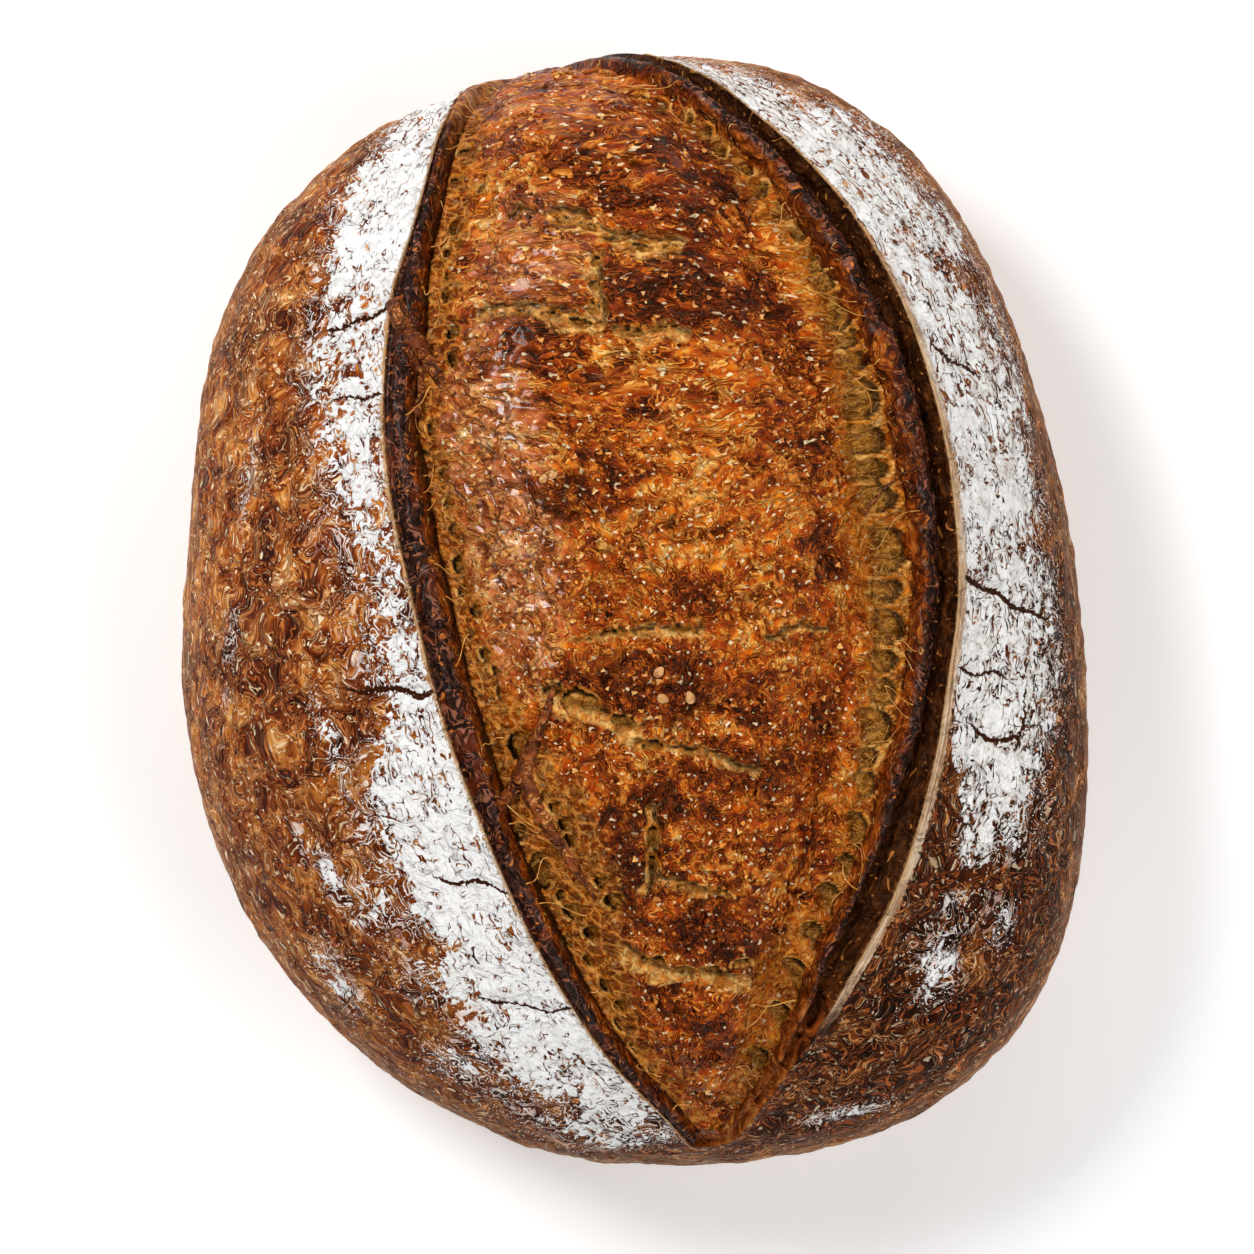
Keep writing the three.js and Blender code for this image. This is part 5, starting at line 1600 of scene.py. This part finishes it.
def settle(piece, tree, **values):
    """Evaluates a tree on a piece and keeps the result as the piece's own mesh."""
    modifier = piece.modifiers.new("grow", "NODES")
    modifier.node_group = tree
    sockets = {item.name: item.identifier for item in tree.interface.items_tree if item.in_out == "INPUT"}
    for name, value in values.items():
        modifier[sockets[name]] = value
    graph = bpy.context.evaluated_depsgraph_get()
    grown = piece.evaluated_get(graph)
    mesh = bpy.data.meshes.new_from_object(grown, preserve_all_data_layers=True, depsgraph=graph)
    piece.modifiers.remove(modifier)
    piece.data = mesh
    mesh.name = piece.name
    print(f"{piece.name}: {sum(len(face.vertices) - 2 for face in mesh.polygons)} triangles")


def strand_tree():
    """Lines of points to round strands, as thick as each point says."""
    tree, wires, end = geometry_tree("round strands", Sides="Int", Finish="Material")
    line = attach(tree, "GeometryNodeMeshToCurve", {"Mesh": wires["Geometry"]})
    thick = named(tree, "thick")
    line = attach(tree, "GeometryNodeSetCurveRadius", {"Curve": line, "Radius": thick})
    ring = attach(tree, "GeometryNodeCurvePrimitiveCircle", {"Resolution": wires["Sides"], "Radius": 1.0})
    made = new_node(tree, "GeometryNodeCurveToMesh")
    plug(line, made.inputs["Curve"])
    plug(ring, made.inputs["Profile Curve"])
    made.inputs["Fill Caps"].default_value = True
    if "Scale" in made.inputs:
        plug(thick, made.inputs["Scale"])
    smooth = attach(tree, "GeometryNodeSetShadeSmooth", {"Geometry": Wire(made.outputs[0])})
    plug(attach(tree, "GeometryNodeSetMaterial", {"Geometry": smooth, "Material": wires["Finish"]}), end)
    return tree


def scatter_tree(shape):
    """Copies of a small shape on a surface, as densely as an attribute of the surface says."""
    tree, wires, end = geometry_tree("scattered " + shape, Mask="String", Density="Float", Smallest="Float",
                                     Largest="Float", Seed="Int", Finish="Material")
    spread = new_node(tree, "GeometryNodeDistributePointsOnFaces")
    plug(wires["Geometry"], spread.inputs["Mesh"])
    plug(named(tree, wires["Mask"]) * wires["Density"], spread.inputs["Density"])
    plug(wires["Seed"], spread.inputs["Seed"])
    if shape == "flakes":
        grid = attach(tree, "GeometryNodeMeshGrid",
                      {"Size X": 1.0, "Size Y": 0.6, "Vertices X": 5, "Vertices Y": 3})
        place = attach(tree, "GeometryNodeInputPosition", {})
        x, y = (attach(tree, "ShaderNodeSeparateXYZ", {0: place}, axis) for axis in range(2))
        lift = attach(tree, "ShaderNodeCombineXYZ", {1: y * x * -1.1, 2: x * x * 1.5 + y * 0.3 + 0.02})
        copy = attach(tree, "GeometryNodeSetPosition", {"Geometry": grid, "Offset": lift})
    else:
        copy = attach(tree, "GeometryNodeMeshIcoSphere", {"Radius": 0.5, "Subdivisions": 1})
        copy = attach(tree, "GeometryNodeTransform", {"Geometry": copy, "Scale": (1.0, 0.8, 0.6)})

    def random(low, high, seed):
        made = new_node(tree, "FunctionNodeRandomValue", data_type="FLOAT")
        numbers = [socket for socket in made.inputs if socket.type == "VALUE"]
        plug(low, numbers[0])
        plug(high, numbers[1])
        made.inputs["Seed"].default_value = seed
        return Wire(next(socket for socket in made.outputs if socket.type == "VALUE"))

    spin = attach(tree, "ShaderNodeCombineXYZ", {2: random(0.0, 2 * math.pi, 2)})
    turn = attach(tree, "FunctionNodeEulerToRotation", {0: spin})
    turn = attach(tree, "FunctionNodeRotateRotation", {0: Wire(spread.outputs["Rotation"]), 1: turn},
                  rotation_space="LOCAL")
    copies = attach(tree, "GeometryNodeInstanceOnPoints",
                    {"Points": Wire(spread.outputs["Points"]), "Instance": copy, "Rotation": turn,
                     "Scale": random(wires["Smallest"], wires["Largest"], 3)})
    copies = attach(tree, "GeometryNodeStoreNamedAttribute",
                    {"Geometry": copies, "Name": "tone", "Value": random(0.0, 1.0, 4)}, domain="INSTANCE",
                    data_type="FLOAT")
    real = attach(tree, "GeometryNodeRealizeInstances", {"Geometry": copies})
    plug(attach(tree, "GeometryNodeSetMaterial", {"Geometry": real, "Material": wires["Finish"]}), end)
    return tree


# %% [markdown]
# ## Strands over the crevices
# Where the score opened, the dough pulled out into threads that dried as thin golden strands. They run from
# the burnt edges over the stretched skin to the belly, often two to one foot. A strand follows the skin,
# and over a hollow it hangs free in a slight sag.

# %% Strands
STRAND_POINTS = 15
SPAN = np.linspace(0, 1, STRAND_POINTS)


def strand_rows():
    """For each strand: side, rows and profile places at both ends, thickness."""
    random = np.random.default_rng(31)
    made = []
    for side, spacing in (("left", 9.0), ("right", 20.0)):
        length = lip_length[side == "right"]
        row = 26.0
        while row < ROWS - 40:
            row += spacing * random.uniform(0.2, 1.9) * ROWS / length
            up = np.interp(row, np.arange(ROWS + 1), SIDES[side][0][:, 1])
            if side == "left":
                start = random.uniform(6.8, 7.8)
                end = LEFT_END + steps(POCKETS, up) * random.uniform(0.15, 0.5) + 1.5
            else:
                start = random.uniform(11.8, 13)
                end = RIDGE_END + steps(WINDOWS, up) * random.uniform(0.25, 0.8) + 1
            foot = row + random.uniform(-9, 9)
            thick = random.uniform(0.06, 0.15)
            made.append((side, row, foot, start, end, thick))
            if random.random() < 0.4:
                away = random.choice([-1, 1]) * random.uniform(3, 8)
                made.append((side, row + away, foot, start + random.uniform(-0.3, 0.6), end, 0.8 * thick))
            if random.random() < 0.5:
                middle = 0.5 * (start + end) + random.uniform(-1, 1)
                made.append((side, row, row + random.uniform(5, 11), middle,
                             end + random.uniform(-2, 1), 0.8 * thick))
    return made


def skin_height(at):
    """Height over the dome of whichever is higher, the belly or the burnt band."""
    return np.maximum(Belly(at).height(), band_height(at))


def line_object(name, rows_of_points, thick):
    count, steps_each = rows_of_points.shape[:2]
    ids = np.arange(count * steps_each).reshape(count, -1)
    edges = np.stack([ids[:, :-1], ids[:, 1:]], -1).reshape(-1, 2)
    mesh = bpy.data.meshes.new(name)
    mesh.from_pydata((rows_of_points.reshape(-1, 3) * MM).tolist(), edges.tolist(), [])
    piece = bpy.data.objects.new(name, mesh)
    bpy.context.scene.collection.objects.link(piece)
    add_numbers(piece, thick=thick.ravel() * MM)
    return piece


def strand_paths(kinds, seed=5):
    random = np.random.default_rng(seed)
    charts = []
    for side, row, foot, start, end, _ in kinds:
        wobble = random.uniform(-1.6, 1.6) * np.sin(np.pi * SPAN * random.uniform(1, 3))
        rows = row + (foot - row) * ease(0, 1, SPAN) + wobble * np.sin(np.pi * SPAN)
        bow = random.uniform(-1.3, 1.3) * np.sin(np.pi * SPAN)
        charts.append(inside_chart(side, np.clip(rows, 4, ROWS - 4), start + (end - start) * SPAN + bow))
    at = Places(np.concatenate(charts))
    skin = skin_height(at).reshape(len(kinds), -1)
    thick = np.array([kind[-1] for kind in kinds])[:, None] * (0.85 + 0.8 * np.abs(2 * SPAN - 1) ** 3)
    sag = random.uniform(0.1, 0.8, len(kinds))[:, None] * 4 * SPAN * (1 - SPAN)
    hang = skin[:, :1] + (skin[:, -1:] - skin[:, :1]) * SPAN - sag
    height = np.maximum(skin + 0.2 * thick, hang)
    points = at.lifted(height.ravel()) + middle_shift
    return points.reshape(len(kinds), STRAND_POINTS, 3), thick


def plain_finish(name, stops, rough, coat=0.0, tone_from=0.25):
    """A finish whose colour runs along an uneven ramp."""
    material, tree, shader, place = new_material(name)
    tone = spread_out(noise(place, 0.5, 2, distortion=0.2)) * 0.3 + number(tree, "tone") * 0.5 + tone_from
    set_inputs(shader, Base_Color=ramp(tone, stops), Roughness=rough, Coat_Weight=coat, Coat_Roughness=0.25)
    return material


STRAND_STOPS = [(0.0, (120, 52, 8)), (0.3, (190, 104, 22)), (0.6, (232, 160, 66)), (1.0, (252, 210, 140))]
strand_finish = plain_finish("dried_strand", STRAND_STOPS, 0.35, 0.3, 0.55)
paths, thick = strand_paths(strand_rows())
strands = line_object("loaf_strands", paths, thick)
round_strands = strand_tree()
settle(strands, round_strands, Sides=6, Finish=strand_finish)

# %% [markdown]
# ## Straps
# In three places a thicker strap of crust tore loose from the left band and baked down onto the belly, and
# on the right one thin charred strand fell across a window. They taper from a broad root to a point.

# %% Straps of torn crust
# A path seen from above with a half-thickness at each place.
STRAPS = [
    [(-55.5, 71.5, 2.4), (-53.4, 66, 2.6), (-50.6, 61.2, 2.5), (-47.4, 56.4, 2.1), (-44.4, 52.4, 1.5),
     (-42.0, 49.8, 0.6)],
    [(-52.6, 60.5, 1.1), (-51, 56, 1.0), (-50.4, 51, 1.1), (-51.6, 46, 1.2)],
    [(-18.4, -18, 0.6), (-20.2, -24.5, 1.2), (-22.8, -30.5, 1.8), (-25.4, -36.5, 2.4), (-27.4, -42, 2.1),
     (-31.2, -45.5, 1.5)],
    [(-25.6, -37.5, 2.0), (-24.2, -43.5, 2.1), (-20.6, -49.5, 1.8), (-16.8, -55.5, 1.5),
     (-12.8, -61.5, 1.1), (-9.0, -67, 0.5)],
    [(55, 22.6, 0.5), (58.6, 26.6, 0.45), (61.6, 30.4, 0.35), (65, 33, 0.3)]]
STRAP_POINTS = 40


def averaged(values, count, **mode):
    """A running average over so many values."""
    return np.convolve(np.pad(values, count // 2, **mode), np.ones(count) / count, mode="valid")


def strap_paths():
    every, thicks = [], []
    for path in STRAPS:
        path = np.array(path, float)
        length = np.concatenate([[0], np.cumsum(np.linalg.norm(np.diff(path[:, :2], axis=0), axis=1))])
        even = np.linspace(0, length[-1], STRAP_POINTS)
        x, y, thick = (np.interp(even, length, column) for column in path.T)
        thick = averaged(thick, 5, mode="edge")
        x, y = (averaged(values, 7, mode="reflect", reflect_type="odd") for values in (x, y))
        at = Places(chart_from_above(np.stack([x, y], 1)))
        thick = thick * (1 + 0.3 * unevenness(at.dome, 2.0, 81))
        skin = skin_height(at)
        soft = averaged(skin, 9, mode="edge")
        every.append(at.lifted(np.maximum(skin, soft) - 0.2 * thick) + middle_shift)
        thicks.append(thick)
    return np.stack(every), np.stack(thicks)


def strap_finish():
    material, tree, shader, place = new_material("torn_strap")
    grain = use_group(tree, baked_grain, Place=place, Stretch=0.0)
    tone = grain.fold * 0.25 + grain.curl * 0.3 + grain.wisp * 0.2 + 0.42
    base = ramp(tone, [(0.1, (26, 9, 3)), (0.35, (88, 36, 12)), (0.6, (160, 82, 32)),
                       (0.9, (236, 170, 100))])
    # Painted highlight on the lit edges of the curls.
    base = blend(grain.rim * 0.5, base, colour(228, 156, 84))
    set_inputs(shader, Base_Color=base, Roughness=0.4, Specular_IOR_Level=0.2)
    bump(shader, grain.fold * 0.3 + grain.curl * 0.8 + grain.wisp * 0.4)
    return material


paths, thick = strap_paths()
straps = line_object("loaf_straps", paths, thick)
settle(straps, round_strands, Sides=14, Finish=strap_finish())

# %% [markdown]
# ## The seeds
# A few sesame seeds stuck to the belly. Each is a flattened drop, pointed at one end, half sunk in the
# skin.

# %% Seeds
# Each seed: x, y, turn in radians, size.
SEEDS = [(5.7, -14.4, 0.9, 1.0), (6.6, -20.5, -0.4, 1.0), (12.7, -20.2, 1.9, 1.05), (9.4, -15.6, 0.3, 0.5),
         (-20.4, 29.4, 0.7, 0.8), (-18.2, 30.2, 0.5, 0.75), (3.6, -9.6, 2.2, 0.55)]
SEED_HALF = np.array([1.6, 1.15, 0.55])
SEED_RINGS, SEED_SIDES = 14, 16


def seed_points():
    """Rings of one seed, from its blunt end to its point."""
    share = np.linspace(0, 1, SEED_RINGS + 1)[:, None]
    around = 2 * np.pi * np.arange(SEED_SIDES)[None] / SEED_SIDES
    reach = np.sin(np.pi * share ** 0.8) ** 0.75
    rings = np.stack([np.broadcast_to(2 * share - 1, (SEED_RINGS + 1, SEED_SIDES)) * SEED_HALF[0],
                      reach * np.cos(around) * SEED_HALF[1], reach * np.sin(around) * SEED_HALF[2]], -1)
    return rings[1:-1]


def seed_mesh():
    rings = seed_points()
    ends = np.array([[-SEED_HALF[0], 0, 0], [SEED_HALF[0], 0, 0]])
    one = np.concatenate([rings.reshape(-1, 3), ends])
    ids = np.arange(rings.shape[0] * SEED_SIDES).reshape(-1, SEED_SIDES)
    faces = grid_quads(ids, closed=True)[:, ::-1].tolist()
    blunt, tip = len(one) - 2, len(one) - 1
    faces += [[blunt, a, b] for a, b in zip(ids[0], np.roll(ids[0], -1))]
    faces += [[b, a, tip] for a, b in zip(ids[-1], np.roll(ids[-1], -1))]
    all_points, all_faces = [], []
    for x, y, turn, size in SEEDS:
        at = Places(chart_from_above([(x, y)]))
        foot = at.lifted(Belly(at).height() + 0.2)[0]
        up = at.normal[0]
        along = np.array([math.cos(turn), math.sin(turn), 0.0])
        along = along - up * (along @ up)
        along /= np.linalg.norm(along)
        frame_of_seed = np.stack([along, np.cross(up, along), up])
        all_faces += [[corner + len(all_points) * len(one) for corner in face] for face in faces]
        all_points.append(foot + size * one @ frame_of_seed)
    return np.concatenate(all_points) + middle_shift, all_faces


seeds = make_mesh("loaf_seeds", *seed_mesh())
SEED_STOPS = [(0.1, (168, 106, 48)), (0.35, (216, 158, 92)), (0.7, (240, 200, 144))]
seeds.data.materials.append(plain_finish("toasted_seed", SEED_STOPS, 0.45, 0.2))

# %% [markdown]
# ## Curled flakes and stray flour
# Blisters of the skin dried and broke into small curled flakes, and single grains of flour lie round the
# dusted strips. Both are scattered over their surface with a fixed seed.

# %% Flakes and grains of flour
def scattered(name, ground, mask, amounts, tree, **values):
    """A copy of a surface with a mask, turned into what is scattered on it."""
    piece = bpy.data.objects.new(name, ground.data.copy())
    bpy.context.scene.collection.objects.link(piece)
    add_numbers(piece, **{mask: amounts})
    settle(piece, tree, Mask=mask, **values)
    piece.data.materials.clear()
    piece.data.materials.append(values["Finish"])
    for left_over in [a.name for a in piece.data.attributes if not a.is_required and a.name != "tone"]:
        piece.data.attributes.remove(piece.data.attributes[left_over])
    return piece


def read_numbers(piece, name):
    values = np.zeros(len(piece.data.vertices), np.float32)
    piece.data.attributes[name].data.foreach_get("value", values)
    return values


FLAKE_STOPS = [(0.1, (140, 62, 12)), (0.4, (206, 122, 36)), (0.7, (242, 180, 92)), (1.0, (254, 224, 164))]
flake_finish = plain_finish("curled_flake", FLAKE_STOPS, 0.35, 0.4)
flour_finish = plain_finish("flour_grain", [(0.1, (214, 200, 190)), (0.6, (250, 248, 245))], 0.9)
clear_of_lips = ease(14, 20, np.minimum(belly_places.left_in, belly_places.right_in))
flake_room = padded(belly_zones.skin * clear_of_lips)
flakes = scattered("loaf_flakes", belly, "flake_room", flake_room, scatter_tree("flakes"),
                   Density=22000.0, Smallest=0.6 * MM, Largest=1.7 * MM, Seed=4, Finish=flake_finish)
flour_now = read_numbers(crust, "flour")
flour_rim = ease(0.04, 0.25, flour_now) * ease(0.95, 0.55, flour_now)
grains = scattered("loose_flour", crust, "flour_rim", flour_rim, scatter_tree("grains"),
                   Density=520000.0, Smallest=0.16 * MM, Largest=0.5 * MM, Seed=6, Finish=flour_finish)

# %% [markdown]
# ## Floor, light and camera
# A pale floor and soft light from the upper left leave a soft shadow at the lower right. The camera looks
# straight down with a long lens.

# %% Stage
FLOOR_HALF = 3.0


def add_floor():
    mesh = bpy.data.meshes.new("floor")
    corners = [(x * FLOOR_HALF, y * FLOOR_HALF, 0) for x, y in ((-1, -1), (1, -1), (1, 1), (-1, 1))]
    mesh.from_pydata(corners, [], [(0, 1, 2, 3)])
    floor = bpy.data.objects.new("floor", mesh)
    bpy.context.scene.collection.objects.link(floor)
    material = bpy.data.materials.new("floor_white")
    material.use_nodes = True
    set_inputs(material.node_tree.nodes["Principled BSDF"], Base_Color=(0.93, 0.93, 0.93, 1), Roughness=0.9,
               Specular_IOR_Level=0.1, Emission_Color=(1, 1, 1, 1), Emission_Strength=0.2)
    mesh.materials.append(material)


def add_light(name, place, size, watts, tone=(1, 1, 1)):
    light = bpy.data.lights.new(name, "AREA")
    light.shape, light.size, light.energy, light.color = "SQUARE", size, watts, tone
    lamp = bpy.data.objects.new(name, light)
    lamp.location = place
    lamp.rotation_mode = "QUATERNION"
    lamp.rotation_quaternion = (Vector(place) - Vector((0, 0, 0.05))).to_track_quat("Z", "Y")
    bpy.context.scene.collection.objects.link(lamp)


# The camera's frame is this wide, in metres, at this height above the floor.
CAMERA_PLACE = (-0.00194, -0.0040, 1.5)
FRAME_WIDTH = 0.3039
FRAME_HEIGHT_ABOVE = 0.04
SENSOR = 36.0


def add_camera():
    camera = bpy.data.cameras.new("camera")
    camera.sensor_width = SENSOR
    camera.lens = SENSOR * (CAMERA_PLACE[2] - FRAME_HEIGHT_ABOVE) / FRAME_WIDTH
    camera.clip_start, camera.clip_end = 0.1, 20
    holder = bpy.data.objects.new("camera", camera)
    holder.location = CAMERA_PLACE
    bpy.context.scene.collection.objects.link(holder)
    bpy.context.scene.camera = holder


def add_world(strength):
    world = bpy.data.worlds.new("soft white room")
    world.use_nodes = True
    set_inputs(world.node_tree.nodes["Background"], Color=(1, 1, 1, 1), Strength=strength)
    bpy.context.scene.world = world


add_floor()
add_light("key", (-0.75, 0.62, 1.15), 0.5, 15)
add_light("fill", (0.85, -0.35, 0.95), 1.0, 8.5)
add_light("back", (0.3, 1.1, 0.7), 0.8, 4)
add_light("front", (-0.35, -1.1, 0.7), 0.8, 3.5)
add_world(0.1)
add_camera()
bpy.context.scene.view_settings.view_transform = "Standard"
bpy.context.scene.view_settings.look = "None"

# %% [markdown]
# ## The loaf's one body
# Every piece moves with the loaf's one body. The crust and the belly stand for the plain solid, which is
# then hidden.

# %% Bodies, and the plain solid hidden
for piece in (crust, belly, strands, straps, flakes, seeds, grains):
    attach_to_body(piece, "root")
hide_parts("loaf")
